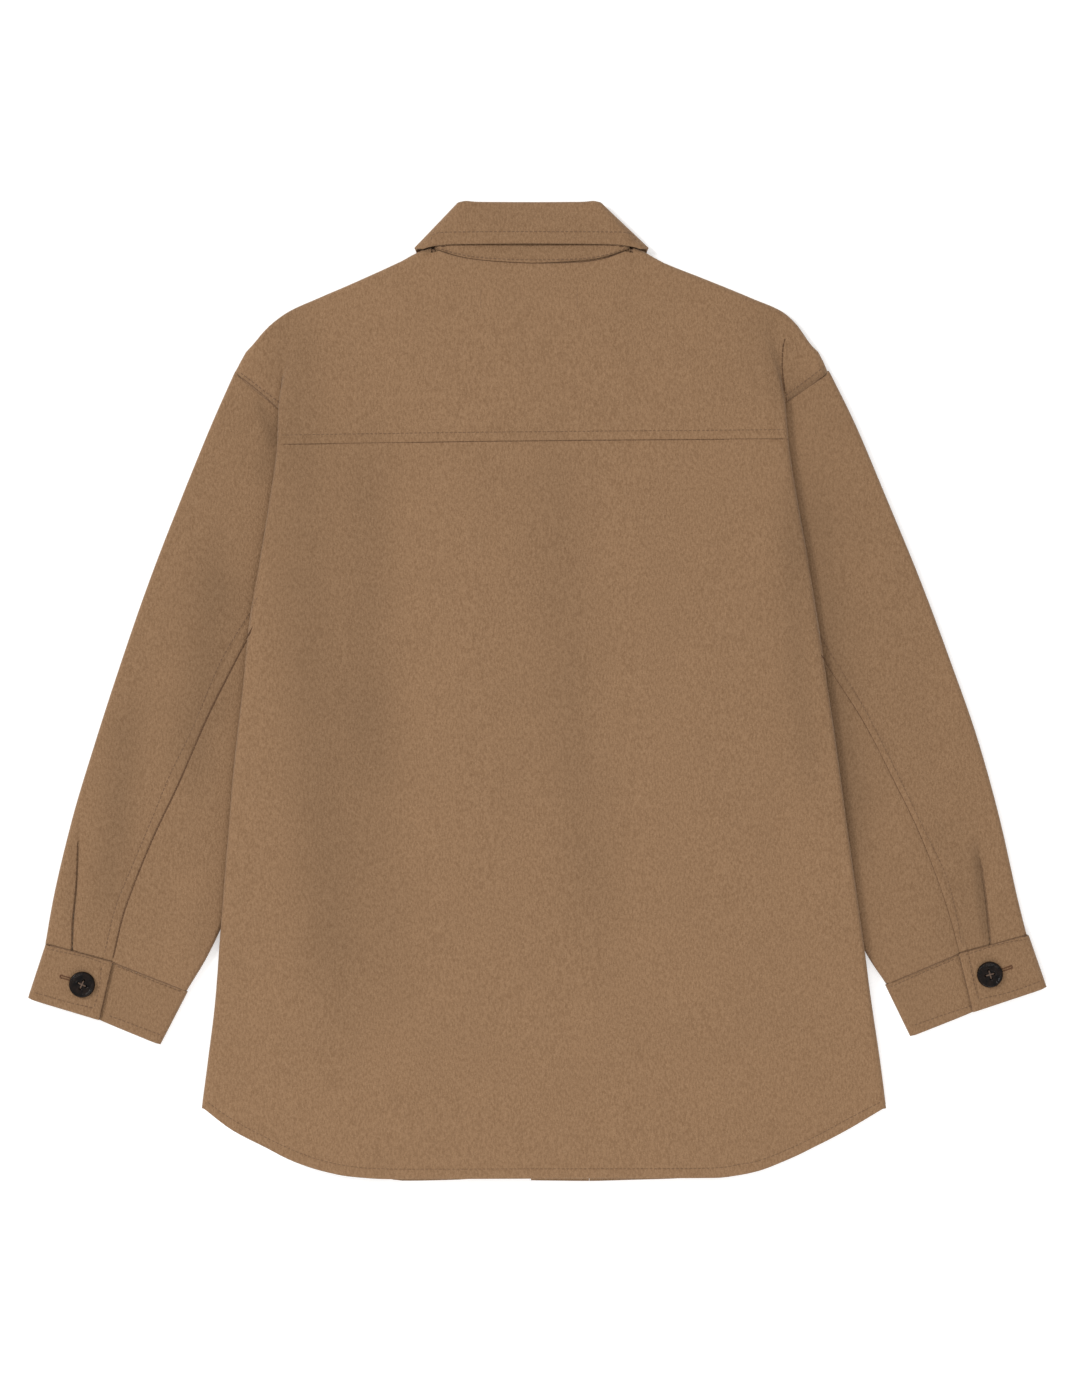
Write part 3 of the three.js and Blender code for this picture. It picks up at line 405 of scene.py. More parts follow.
def over_leaf(side, x, y):
    px = x if side < 0 else -x - 8
    d = -1e9
    for k in range(4):
        a, b = LEAF[k], LEAF[(k + 1) % 4]
        far = math.hypot(b["x"] - a["x"], b["y"] - a["y"])
        d = max(d, -((b["x"] - a["x"]) * (y - a["y"]) - (b["y"] - a["y"]) * (px - a["x"])) / far)
    return LAPEL_LIFT * (1 - ease((d - 14) / 18))


def front_z(side, x, y, tuck=False):
    lap = PLACKET_L if side < 0 else PLACKET_R
    off = centre_x(y) - PLACKET_HALF - x if side < 0 else x - centre_x(y) - PLACKET_HALF
    placket = (lap - CLOTH / 2) * (1 - ease(off / RISE))
    inside = (inner_x(side, y) - x) * side
    reach = (1 if tuck and y > UNDERARM - 10 else ease(1 - (inside - 5) / SLEEVE_RAMP)) * ease((y + 262) / 40)
    low = 0 if y > UNDERARM + 6 else ease((UNDERARM + 4 - y) / 24)
    sleeve = (OVER_SLEEVE - CLOTH / 2) * reach * (1 if tuck else low)
    return CLOTH / 2 + max(placket, over_leaf(side, x, y) if y > 200 else 0, sleeve)


def back_z(x, y):
    mid = read(BACK, "y", y, "mid")
    side = -1 if x < 0 else 1
    edge = abs(read(SIDE, "y", y, side_name(side)))
    share = ease((abs(x) / edge - 0.5) / 0.5)
    return mix(mid, read(FOLD, "y", y, "high"), share) + soft(SOFT, x, y) * (1 - ease((share - 0.4) / 0.5)) + soft(FINE, x, y)


def fold_line(side, y, start):
    run, swell, high = (read(FOLD, "y", y, c) for c in ("run", "swell", "high"))
    foot = side_x(side, y) - side * swell
    under = start[1] < 236
    low = front_z(side, foot, y, True) if under and y < 222 else read(FOLD, "y", y, "low")
    line = []
    for k in range(9):
        f = k / 8
        x = mix(start[0], foot, f)
        line.append([x, mix(start[1], y, f), front_z(side, x, y, True) if y < 222 else mix(start[2], low, ease(f * 1.2))])
    for k in range(1, 25):
        th = math.pi * k / 24
        line.append([foot - side * run * th / math.pi + side * swell * math.sin(th), y, mix(low, high, (1 - math.cos(th)) / 2)])
    return line


# ---------------------------------------------------------------- making cloth
def wall(name, grid, keep=None, thick=CLOTH):
    """A thin closed shell on a grid of middle points, in millimetres."""
    g = np.array(grid, float)
    R, C = g.shape[:2]
    k = np.ones((R - 1, C - 1), bool) if keep is None else np.array([[keep(i, j) for j in range(C - 1)] for i in range(R - 1)])
    a, b, c, d = g[:-1, :-1], g[:-1, 1:], g[1:, 1:], g[1:, :-1]
    n = np.cross(c - a, d - b)
    n /= np.maximum(np.linalg.norm(n, axis=2, keepdims=True), 1e-9)
    n *= k[..., None]
    N = np.zeros_like(g)
    N[:-1, :-1] += n; N[:-1, 1:] += n; N[1:, 1:] += n; N[1:, :-1] += n
    N /= np.maximum(np.linalg.norm(N, axis=2, keepdims=True), 1e-9)
    pos = np.concatenate([(g + N * thick / 2).reshape(-1, 3), (g - N * thick / 2).reshape(-1, 3)])
    idx = np.arange(R * C).reshape(R, C)
    faces, M = [], R * C
    A, B, Cc, D = idx[:-1, :-1][k], idx[:-1, 1:][k], idx[1:, 1:][k], idx[1:, :-1][k]
    faces += np.stack([A, B, Cc, D], 1).tolist()
    faces += np.stack([A + M, D + M, Cc + M, B + M], 1).tolist()
    flat_from = len(faces)
    for i in range(R - 1):
        for j in range(C - 1):
            if not k[i, j]:
                continue
            if i == 0 or not k[i - 1, j]:
                faces.append([idx[i, j], idx[i, j] + M, idx[i, j + 1] + M, idx[i, j + 1]])
            if i == R - 2 or not k[i + 1, j]:
                faces.append([idx[i + 1, j + 1], idx[i + 1, j + 1] + M, idx[i + 1, j] + M, idx[i + 1, j]])
            if j == 0 or not k[i, j - 1]:
                faces.append([idx[i + 1, j], idx[i + 1, j] + M, idx[i, j] + M, idx[i, j]])
            if j == C - 2 or not k[i, j + 1]:
                faces.append([idx[i, j + 1], idx[i, j + 1] + M, idx[i + 1, j + 1] + M, idx[i + 1, j + 1]])
    used = np.unique(np.array([v for f in faces for v in f]))
    remap = -np.ones(len(pos), int)
    remap[used] = np.arange(len(used))
    faces = [[int(remap[v]) for v in f] for f in faces]
    p = pos[used] / 1000
    tri = np.array([[f[0], f[1], f[2]] for f in faces] + [[f[0], f[2], f[3]] for f in faces])
    q = p - p.mean(0)
    if (q[tri[:, 0]] * np.cross(q[tri[:, 1]], q[tri[:, 2]])).sum() < 0:
        faces = [f[::-1] for f in faces]
    me = bpy.data.meshes.new(name)
    me.from_pydata(p.tolist(), [], faces)
    me.polygons.foreach_set("use_smooth", [i < flat_from for i in range(len(faces))])
    me.update()
    o = bpy.data.objects.new(name, me)
    bpy.context.scene.collection.objects.link(o)
    return o


def mesh(name, verts, faces, smooth=True):
    me = bpy.data.meshes.new(name)
    me.from_pydata([list(v) for v in verts], [], faces)
    me.polygons.foreach_set("use_smooth", [smooth] * len(faces))
    me.update()
    o = bpy.data.objects.new(name, me)
    bpy.context.scene.collection.objects.link(o)
    return o


# ---------------------------------------------------------------- body
STEP = 4.2
FOLD_AT = [k / 16 for k in range(17)]


def fold_points(side, y, start):
    return respace(fold_line(side, y, start), FOLD_AT)


def back_panel():
    rows = shares(600, STEP)
    cols = [k / round(420 / STEP) for k in range(round(420 / STEP) + 1)]
    grid = []
    for v in rows:
        ends = []
        for side in (-1, 1):
            y = mix(read(YOKE, "x", side * 215, "y") - GAP / 2, -339.9, v)
            x0 = (arm_x(side, y) if y >= UNDERARM else seam_x(side, y)) + side * GAP
            ends.append(fold_points(side, y, [x0, y, 0]))
        a, b = ends[0][-1], ends[1][-1]
        mid = []
        for u in cols[1:-1]:
            x = mix(a[0], b[0], u)
            y = mix(read(YOKE, "x", x, "y") - GAP / 2, read(HEM, "x", x, "y"), v)
            mid.append([x, y, back_z(x, y)])
        line = ends[0] + mid + ends[1][::-1]
        dz = band(v * 600, False) + band((1 - v) * 600)
        if v < 0.1:
            dz += 0.12
        for p in line:
            p[2] += dz if p[2] > 9 else 0
            p[1] += v ** 10 * (min(-342.6, read(HEM, "x", p[0], "y") - 0.8) - (-339.9 if p in ends[0] or p in ends[1] else read(HEM, "x", p[0], "y")))
        grid.append(line)
    return wall("cloth_back", grid)


def yoke():
    arc, strip = 10, 8
    rows = shares(150, STEP * 0.8)
    cell = [12, 24, 12]
    n_mid = sum(cell)
    nf, nt = 16 + cell[0], 16 + cell[0] + cell[1]

    def rim(x):
        return read(SHOULDER, "x", x, "y") - CLOTH / 2 - WRAP

    top = []
    for v in rows:
        ends = []
        for side in (-1, 1):
            seam = read(YOKE, "x", side * 215, "y") + GAP / 2
            y_arm = mix(262, seam, v) - (1 - v) * WRAP
            y_c = mix(rim(side * 202), seam, v)
            start = [arm_x(side, y_arm) - side * GAP, y_arm, read(FOLD, "y", mix(y_c, y_arm, 0.8), "low")]
            pts = fold_points(side, y_c, start)
            k = (1 - v) ** 3 * (1 if v == 0 else 0.9)
            ends.append([[x, y + k * min(1, c / 2) * (min(rim(x), 400) - y), z] for c, (x, y, z) in enumerate(pts)])
        a, b = ends[0][-1], ends[1][-1]
        mid = []
        nl, nr = mix(-86.9, -70, v), mix(78.7, 66, v)
        for k in range(1, n_mid):
            if k <= cell[0]:
                x = mix(a[0], nl, k / cell[0])
            elif k <= cell[0] + cell[1]:
                x = mix(nl, nr, (k - cell[0]) / cell[1])
            else:
                x = mix(nr, b[0], (k - cell[0] - cell[1]) / cell[2])
            inner = cell[0] < k < cell[0] + cell[1]
            edge = k in (cell[0], cell[0] + cell[1])
            y0 = read(NECK, "x", x, "y") - (WRAP if edge else 0) if inner or edge else rim(x)
            y = mix(y0, read(YOKE, "x", x, "y") + GAP / 2, v)
            mid.append([x, y, mix(back_z(x, y), back_z(x, y) if inner else 9.4, (1 - v) ** 4)])
        line = ends[0] + mid + ends[1][::-1]
        dz = band((1 - v) * 150)
        neck = band(v * 95, False)
        for j, p in enumerate(line):
            if p[2] > 8:
                p[2] += dz
            if nf < j < nt:
                p[2] += neck
        # the armhole edge, rolled and stitched where it shows
        for e, side in ((line[:17], -1), (line[::-1][:17], 1)):
            q = np.array(e)
            d = np.concatenate([[0], np.cumsum(np.linalg.norm(np.diff(q, axis=0), axis=1))])
            for p, far in zip(e, d):
                if v < 0.55:
                    p[2] += band(far) * (1 - ease((v - 0.35) / 0.2))
        top.append(line)
    over = []
    for k in range(strip + arc, 0, -1):
        r = []
        for j, (x, y, z) in enumerate(top[0]):
            side = -1 if j < 16 + n_mid // 2 else 1
            f = FORWARD[0 if side < 0 else 1]
            if nf < j < nt:
                r.append([x, y + 0.05 * k, z])
                continue
            z_low = front_z(side, x, y)
            m, rad = (z + z_low) / 2, (z - z_low) / 2
            if k <= arc:
                th = math.pi * k / arc
                tip = ease(1 - min(j, len(top[0]) - 1 - j) / 4) * 0.95
                r.append([x + side * tip * WRAP * math.sin(th), y + WRAP * math.sin(th), m + rad * math.cos(th)])
                continue
            w = (k - arc) / strip
            far = clamp((side * x - 82) / (248 - 82), 0, 1)
            xs = mix(x, mix(f["xNeck"], f["xArm"], far), w)
            ys = mix(y, mix(f["yNeck"], f["yArm"], far) + GAP / 2, w)
            r.append([xs, ys, front_z(side, xs, ys)])
        over.append(r)
    n_over = strip + arc
    return wall("cloth_yoke", over + top, lambda i, j: i >= n_over or j < nf or j >= nt)


def front_top(side, x):
    f = FORWARD[0 if side < 0 else 1]
    if side * x >= side * f["xNeck"]:
        return mix(f["yNeck"], f["yArm"], (x - f["xNeck"]) / (f["xArm"] - f["xNeck"])) - GAP / 2
    return read(NECKLINE, "off", side * (x - 3.3), "y") - 0.2


def hem_y(side, x):
    return read(HEM, "x", x, "y") - read(LONGER if side < 0 else LONGER_R, "x", x, "by")


def front(side):
    step = STEP * 1.5
    nr = round(600 / step)
    cols = shares(250, step, False, True)
    grid = []
    for i in range(nr + 1):
        v = (i / nr) ** 1.2
        line = []
        for u in cols:
            x, y = 0.0, mix(FORWARD[0 if side < 0 else 1]["yArm"] - GAP, -339.9, v)
            for _ in range(8):
                out = (arm_x(side, y) if y > UNDERARM else seam_x(side, y)) - side * HIDDEN
                inn = centre_x(y) + side * (PLACKET_HALF + GAP / 2)
                x = mix(out, inn, u)
                y = mix(front_top(side, x), hem_y(side, x), v)
            z = front_z(side, x, y)
            lift = ease((z - CLOTH / 2) / 1.5)
            line.append([x, y, z + max(0.0, soft(UNDER, x, y)) * (1 - lift)])
        grid.append(line)
    return wall(f"cloth_front_{side_name(side)}", grid)


def placket(side):
    level = PLACKET_L if side < 0 else PLACKET_R
    nr = round(690 / (STEP * 1.5))
    grid = []
    for i in range(nr + 1):
        line = []
        for u in shares(48, 6):
            x = y = 0.0
            for _ in range(6):
                x = centre_x(y) + mix(-1, 1, u) * (PLACKET_HALF - GAP / 2)
                end = read(HEM, "x", x, "y") - 0.4 if side < 0 else hem_y(1, max(x, -5.7))
                y = mix(read(NECKLINE, "off", side * (x - 3.3), "y") - 0.2, end, i / nr)
            line.append([x, y, level])
        grid.append(line)
    return wall(f"cloth_placket_{side_name(side)}", grid)


# ---------------------------------------------------------------- sleeves
def pleat(side, x, y):
    """A pressed pleat above the cuff: a sharp step at its edge that fades upwards."""
    line = PLEAT_L if side < 0 else PLEAT_R
    (x0, y0), (x1, y1) = line[0], line[-1]
    if y > y0 + 40 or y < y1 - 6:
        return 0.0
    at = float(np.interp(-y, [-p[1] for p in line], [p[0] for p in line]))
    s = (x - at) * side
    deep = ease((y0 + 40 - y) / 70)
    return deep * (-1.3 * math.exp(-((s + 0.6) / 1.1) ** 2) + (0.75 * math.exp(-s / 9) if s > 0 else -0.25 * math.exp(s / 5)))


def sleeve_z(side, x, y):
    out = (x - side_x(side, max(y, -339))) * side
    open_ = ease((out - 1) / 40)
    low = mix(SLEEVE_LOW, 6.9, ease((y - 234) / 12))
    end = ease((-150 - y) / 70)
    fine = soft(SLEEVE_FINE, x, y) * ease(out / 12) if out > 0 else 0
    return mix(low, mix(SLEEVE_FULL, 6.9, end), open_) + soft(SLEEVE_SOFT, x, y) + fine


def edge_point(t, f, k):
    return [row(t, f, k + "x"), row(t, f, k + "y")]


def face_point(side, v, a_key, b_key, u):
    t = sleeve_rows(side)
    a, b, a0, b0 = edge_point(t, v, a_key), edge_point(t, v, b_key), edge_point(t, 0, a_key), edge_point(t, 0, b_key)
    y0, x0 = mix(a0[1], b0[1], u), mix(a0[0], b0[0], u)
    on = mix(arm_x(side, y0) + side * (HIDDEN if a_key == "o" else GAP), x0, ease((72 - y0) / 16))
    return [mix(a[0], b[0], u) + (1 - v) ** 6 * (on - x0), mix(a[1], b[1], u)]


LOWER = [0, 0.04, 0.08, 0.12, 0.16, 0.205, 0.25, 0.3, 0.35, 0.405, 0.46, 0.515, 0.57, 0.625, 0.68, 0.735, 0.79, 0.845, 0.9, 0.95, 1]


def sleeve_upper(side):
    rows = shares(430, STEP)
    face = shares(100, STEP / 2.8, True, False)
    grid = []
    t = sleeve_rows(side)
    last = t[-1]
    for v in rows:
        o, s = edge_point(t, v, "o"), edge_point(t, v, "s")
        far = math.hypot(s[0] - o[0], s[1] - o[1])
        way, inset = [(s[0] - o[0]) / far, (s[1] - o[1]) / far], CLOTH / 2 + 3
        line = []
        for share in face:
            x, y = face_point(side, v, "s", "o", share)
            px = x + way[0] * inset * share ** 6 + (side * GAP / 2 if share == 0 else 0)
            z = sleeve_z(side, px, y) + band(share * far) * ease((0.97 - share) / 0.2) + pleat(side, px, y)
            z += band(v * 430, False) * 0.6 + band((1 - v) * 430, False)
            line.append([px, y + way[1] * inset * share ** 6, z])
        ex, ey, ez = line[-1]
        low = CLOTH / 2
        r = (ez - low) / 2
        for k in range(1, 13):
            th = math.pi * k / 13
            line.append([ex - way[0] * 3 * math.sin(th), ey - way[1] * 3 * math.sin(th), low + r + r * math.cos(th)])
        for u in LOWER:
            x, y = face_point(side, v, "o", "i", u)
            m = LOWER[10]
            part = mix(last["oy"], last["sy"], u / m) if u <= m else mix(last["sy"], last["iy"], (u - m) / (1 - m))
            to_cuff = v ** 8 * (part - mix(last["oy"], last["iy"], u))
            line.append([x + way[0] * inset * (1 - u) ** 12 + (side * 4.2 if u == 1 else 0), y + way[1] * inset * (1 - u) ** 12 + to_cuff, low])
        grid.append(line)
    n_top = len(face) + 12
    for end, nxt, far_in, drop_z in ((0, 1, 2.2, 1.9), (-1, -2, 1.8, 1.3)):
        extra = []
        for j, (p, q) in enumerate(zip(grid[end], grid[nxt])):
            d = np.array(p[:2]) - np.array(q[:2])
            d /= max(1e-6, float(np.linalg.norm(d)))
            k = (1.0 if j < n_top - 6 else 0.0) * (ease((p[1] - 224) / 8) if end == 0 else 1.0)
            extra.append([p[0] + d[0] * far_in * max(k, 0.05), p[1] + d[1] * far_in * max(k, 0.05), p[2] - drop_z * k])
        grid = [extra] + grid if end == 0 else grid + [extra]
    return wall(f"cloth_sleeve_{side_name(side)}_upper", grid)


def sleeve_under(side):
    rows = shares(370, STEP)
    grid = []
    for v in rows:
        line = []
        for u in shares(80, STEP, True, False):
            x, y = face_point(side, v, "s", "i", u)
            px = x + (-side * GAP / 2 if u == 0 else 0) + side * 3.4 * u
            z = sleeve_z(side, px, y) + band(u * 80, False) * ease((0.97 - u) / 0.2) + band((1 - v) * 370, False) + 0.1
            line.append([px, y, z])
        ex, ey, ez = line[-1]
        low = CLOTH / 2
        r = (ez - low) / 2
        for k in range(1, 11):
            th = math.pi * k / 10 * 0.9
            line.append([ex - side * 2.2 * math.sin(th), ey, low + r + r * math.cos(th)])
        grid.append(line)
    extra = []
    for j, (p, q) in enumerate(zip(grid[-1], grid[-2])):
        d = np.array(p[:2]) - np.array(q[:2])
        d /= max(1e-6, float(np.linalg.norm(d)))
        k = 1.0 if j < len(line) - 6 else 0.05
        extra.append([p[0] + d[0] * 1.8 * k, p[1] + d[1] * 1.8 * k, p[2] - 1.2 * k])
    return wall(f"cloth_sleeve_{side_name(side)}_under", grid + [extra])


# ---------------------------------------------------------------- cuffs
TAB_Z = CLOTH / 2 + 2 * PLY + 1.8


def cuff(side):
    a, b = CUFF_L if side < 0 else CUFF_R
    grid = []
    for v in shares(46, 5):
        at = lambda k: [mix(a[k + "x"], b[k + "x"], v), mix(a[k + "y"] - (1.7 if k == "i" else 0.8), b[k + "y"], v)]
        o, f, i = at("o"), at("f"), at("i")
        low, lap = CLOTH / 2, TAB_Z - PLY
        far, rest = math.hypot(f[0] - o[0], f[1] - o[1]), math.hypot(i[0] - f[0], i[1] - f[1])
        way, on = [(f[0] - o[0]) / far, (f[1] - o[1]) / far], [(i[0] - f[0]) / rest, (i[1] - f[1]) / rest]
        line = []
        edge = band(v * 46) + band((1 - v) * 46)

        def push(p, z, inset):
            d = on if inset < 0 else way
            line.append([p[0] + d[0] * inset, p[1] + d[1] * inset, z])

        for u in shares(55, 6, True, False):
            push(mixp(f, o, u), TAB_Z + band(u * 55) * ease((0.96 - u) / 0.2) + edge, 4.4 * u)
        for k in range(1, 12):
            th = math.pi * k / 12
            push(o, mix(low, TAB_Z, (1 + math.cos(th)) / 2), 4.4 - 3.3 * math.sin(th))
        for k in range(17):
            w = k / 8
            push(mixp(o, f, w) if w < 1 else mixp(f, i, w - 1), low, mix(4.4, 0, w) if w < 1 else mix(0, -3.5, w - 1))
        for k in range(1, 10):
            th = math.pi * k / 10
            push(i, mix(lap, low, (1 + math.cos(th)) / 2), -3.5 + 2.4 * math.sin(th))
        for k in range(12):
            w = k / 11
            push(mixp(i, f, w), lap + edge * (1 if w < 0.9 else 0.5), -3.5 * (1 - w))
        push(mixp(f, o, UNDERLAP * 0.5), lap, 0)
        push(mixp(f, o, UNDERLAP), lap, 0)
        grid.append(line)
    return wall(f"cloth_cuff_{side_name(side)}", grid)


# ---------------------------------------------------------------- collar
def collar_row(side, f):
    g = lambda c: row(COLLAR, f, c)
    flip = lambda x: x if side < 0 else -x - 8
    turn = math.radians(g("turn"))
    n = [g("nx"), g("ny"), g("nz")]
    if g("turn") > 150:
        n[2] = max(n[2], front_z(side, flip(n[0]), n[1] - 1))
    lift = max(0.0, n[2] - g("nz"))
    slim = lambda x, k: x if side < 0 else -4 + (x + 4) * k
    roll, e, r = [slim(g("rx"), 0.925), g("ry"), g("rz") + lift / 2], [slim(g("ex"), 0.99), g("ey"), g("ez")], g("r") + lift / 2
    d = [roll[0] - n[0], roll[1] - n[1]]
    far = math.hypot(*d)
    dr = [d[0] / far, d[1] / far]
    out = [-0.74 * math.sin(turn), 0.67 * math.sin(turn), math.cos(turn)]
    c = [roll[0] - dr[0] * r, roll[1] - dr[1] * r, roll[2]]
    arc = []
    for k in range(11):
        th = math.pi * k / 10
        s, b = -r * math.cos(th), r * math.sin(th)
        arc.append([c[0] + out[0] * s + dr[0] * b, c[1] + out[1] * s + dr[1] * b, c[2] + out[2] * s])
    return n, arc, e, dr, flip, g("up"), g("turn")


def collar_grid(make):
    n = 90

    def half(side):
        res = []
        for k in range(n + 1):
            c = collar_row(side, k / n)
            res.append([[c[4](x), y, z] for x, y, z in make(c)])
        return res

    return half(-1)[::-1] + half(1)[1:]


def fall_row(c):
    arc, e = c[1], c[2]
    a = arc[-1]
    far = math.dist(a, e)
    res = list(arc)
    top = 1 if c[6] < 30 else 0.3
    for u in shares(60, 4, False, True)[1:]:
        p = mixp(a, e, u)
        p[2] += (band((1 - u) * far) + 0.9 * math.sin(math.pi * u)) * top
        res.append(p)
    return res


def fall():
    rows = collar_grid(fall_row)
    n = min(len(r) for r in rows)
    rows = [r if len(r) == n else respace(r, [k / (n - 1) for k in range(n)]) for r in rows]
    return wall("cloth_collar_fall", rows)


def stand():
    def make(c):
        n, arc, e, dr, flip, up, turn = c
        a = [n[0] + dr[0] * 1.2, n[1] + dr[1] * 1.2, n[2]]
        b = [arc[0][0] - dr[0] * (CLOTH / 2 + GAP), arc[0][1] - dr[1] * (CLOTH / 2 + GAP), arc[0][2]]
        far = math.dist(a, b)
        at = [v / far for v in (-4.0, -1.8, -1.0, -0.4, 0.2, 0.8, 1.5, 2.4, 3.4, 4.4)] + [mix(5.6 / far, up, k / 8) for k in range(9)]
        res = []
        for u in at:
            p = mixp(a, b, u)
            d = u * far
            if turn < 100:
                p[2] -= 2.4 * ease((0.6 - d) / 1.8)
            if turn < 30:
                p[2] -= 0.3 * math.exp(-((d - 3.0) / 0.8) ** 2)
            res.append(p)
        return res
    return wall("cloth_collar_stand", collar_grid(make))


# Low waves of the fronts where they lie on the surface; they only lift.
UNDER = [
    dict(x1=-150, y1=120, x2=-110, y2=-200, rise=1.0, wide=16),
    dict(x1=-100, y1=-60, x2=-150, y2=-330, rise=0.8, wide=12),
    dict(x1=140, y1=90, x2=120, y2=-240, rise=1.0, wide=15),
    dict(x1=170, y1=-120, x2=200, y2=-330, rise=0.7, wide=12),
]
# Pleats above the cuffs, from their start down to the cuff.
PLEAT_L = [(-377.2, -122.6), (-378.8, -160.3), (-381.7, -188.2), (-382.3, -213.0)]
PLEAT_R = [(364.1, -137.4), (366.5, -151.3), (369.5, -172.6), (372.3, -200.0), (373.0, -208.0)]
# Soft drags of the sleeves below the shoulder.
SLEEVE_FINE = [
    dict(x1=-243.0, y1=190, x2=-262.0, y2=60, rise=-0.7, wide=12),
    dict(x1=-290.0, y1=120, x2=-312.0, y2=20, rise=0.6, wide=14),
    dict(x1=-345.0, y1=-40, x2=-352.0, y2=-160, rise=0.5, wide=10),
    dict(x1=236.0, y1=190, x2=256.0, y2=60, rise=-0.6, wide=12),
    dict(x1=286.0, y1=120, x2=304.0, y2=10, rise=0.5, wide=14),
    dict(x1=340.0, y1=-50, x2=350.0, y2=-160, rise=0.5, wide=10),
]


# ---------------------------------------------------------------- camera and light
scene = bpy.context.scene
scene.view_settings.view_transform = "Standard"
scene.view_settings.look = "None"
cam = bpy.data.cameras.new("camera")
cam.lens, cam.sensor_width, cam.clip_end = 100, 36, 20
cam_o = bpy.data.objects.new("camera", cam)
cam_o.location = (0.0025, 0.0020, 3.150)
scene.collection.objects.link(cam_o)
scene.camera = cam_o

world = bpy.data.worlds.new("world")
scene.world = world
world.use_nodes = True
world.node_tree.nodes["Background"].inputs["Color"].default_value = (1, 1, 1, 1)
world.node_tree.nodes["Background"].inputs["Strength"].default_value = 0.80


def area_light(name, at, size, power, tint=(1, 1, 1)):
    li = bpy.data.lights.new(name, "AREA")
    li.shape, li.size, li.energy, li.color = "SQUARE", size, power, tint
    o = bpy.data.objects.new(name, li)
    o.location = at
    o.rotation_euler = (-Vector(at)).to_track_quat("-Z", "Y").to_euler()
    scene.collection.objects.link(o)


area_light("key", (-3.1, 1.7, 3.1), 1.1, 104)
area_light("fill", (0.4, -2.2, 2.0), 1.8, 29)

floor = mesh("floor", [(-4, -4, -0.0004), (4, -4, -0.0004), (4, 4, -0.0004), (-4, 4, -0.0004)], [[0, 1, 2, 3]], False)


# ---------------------------------------------------------------- materials
def node(t, kind, **values):
    n = t.nodes.new(kind)
    for k, v in values.items():
        if k in n.inputs:
            n.inputs[k].default_value = v
        else:
            setattr(n, k, v)
    return n


def ramp(t, stops):
    n = t.nodes.new("ShaderNodeValToRGB")
    e = n.color_ramp.elements
    while len(e) < len(stops):
        e.new(0.5)
    for el, (at, colour) in zip(e, stops):
        el.position, el.color = at, (*colour, 1)
    return n


def material(name):
    m = bpy.data.materials.new(name)
    m.use_nodes = True
    return m, m.node_tree, m.node_tree.nodes["Principled BSDF"]


def wool(name, gain=1.0):
    m, t, p = material(name)
    link = t.links.new
    at = node(t, "ShaderNodeTexCoord")
    fibre = node(t, "ShaderNodeTexNoise", Scale=900.0, Detail=4.0, Roughness=0.65)
    fleck = node(t, "ShaderNodeTexVoronoi", Scale=620.0)
    cloud = node(t, "ShaderNodeTexNoise", Scale=26.0, Detail=3.0, Roughness=0.6)
    stretch = node(t, "ShaderNodeMapping")
    stretch.inputs["Scale"].default_value = (1.0, 0.42, 1.0)
    stretch.inputs["Rotation"].default_value = (0, 0, 0.5)
    slub = node(t, "ShaderNodeTexNoise", Scale=760.0, Detail=2.0, Roughness=0.5)
    for n in (fibre, fleck, cloud):
        link(at.outputs["Object"], n.inputs["Vector"])
    link(at.outputs["Object"], stretch.inputs["Vector"])
    link(stretch.outputs["Vector"], slub.inputs["Vector"])
    c = lambda r, g, b: (r * gain, g * gain, b * gain)
    base = ramp(t, [(0.30, c(0.232, 0.128, 0.062)), (0.50, c(0.312, 0.181, 0.095)), (0.72, c(0.408, 0.256, 0.146))])
    link(fibre.outputs["Fac"], base.inputs["Fac"])
    dark = ramp(t, [(0.36, c(0.205, 0.110, 0.053)), (0.60, c(0.345, 0.205, 0.110))])
    link(slub.outputs["Fac"], dark.inputs["Fac"])
    one = node(t, "ShaderNodeMix", data_type="RGBA", Factor=0.45)
    link(base.outputs["Color"], one.inputs[6])
    link(dark.outputs["Color"], one.inputs[7])
    pale = ramp(t, [(0.0, (0.86, 0.86, 0.86)), (0.55, (1.0, 1.0, 1.0)), (1.0, (1.14, 1.14, 1.14))])
    link(cloud.outputs["Fac"], pale.inputs["Fac"])
    two = node(t, "ShaderNodeMix", data_type="RGBA", blend_type="MULTIPLY", Factor=0.35)
    link(one.outputs[2], two.inputs[6])
    link(pale.outputs["Color"], two.inputs[7])
    # painted shade: the painted_shade attribute darkens the base colour
    painted_shade_node = node(t, "ShaderNodeAttribute", attribute_name="painted_shade")
    three = node(t, "ShaderNodeMix", data_type="RGBA", blend_type="MULTIPLY", Factor=1.0)
    link(two.outputs[2], three.inputs[6])
    link(painted_shade_node.outputs["Color"], three.inputs[7])
    link(three.outputs[2], p.inputs["Base Color"])
    add = node(t, "ShaderNodeMath", operation="ADD")
    link(fibre.outputs["Fac"], add.inputs[0])
    link(fleck.outputs["Distance"], add.inputs[1])
    bump = node(t, "ShaderNodeBump", Strength=0.55, Distance=0.0007)
    link(add.outputs[0], bump.inputs["Height"])
    link(bump.outputs["Normal"], p.inputs["Normal"])
    p.inputs["Roughness"].default_value = 0.93
    p.inputs["Specular IOR Level"].default_value = 0.18
    p.inputs["Sheen Weight"].default_value = 0.22
    p.inputs["Sheen Roughness"].default_value = 0.45
    p.inputs["Sheen Tint"].default_value = (1.0, 0.86, 0.70, 1)
    return m


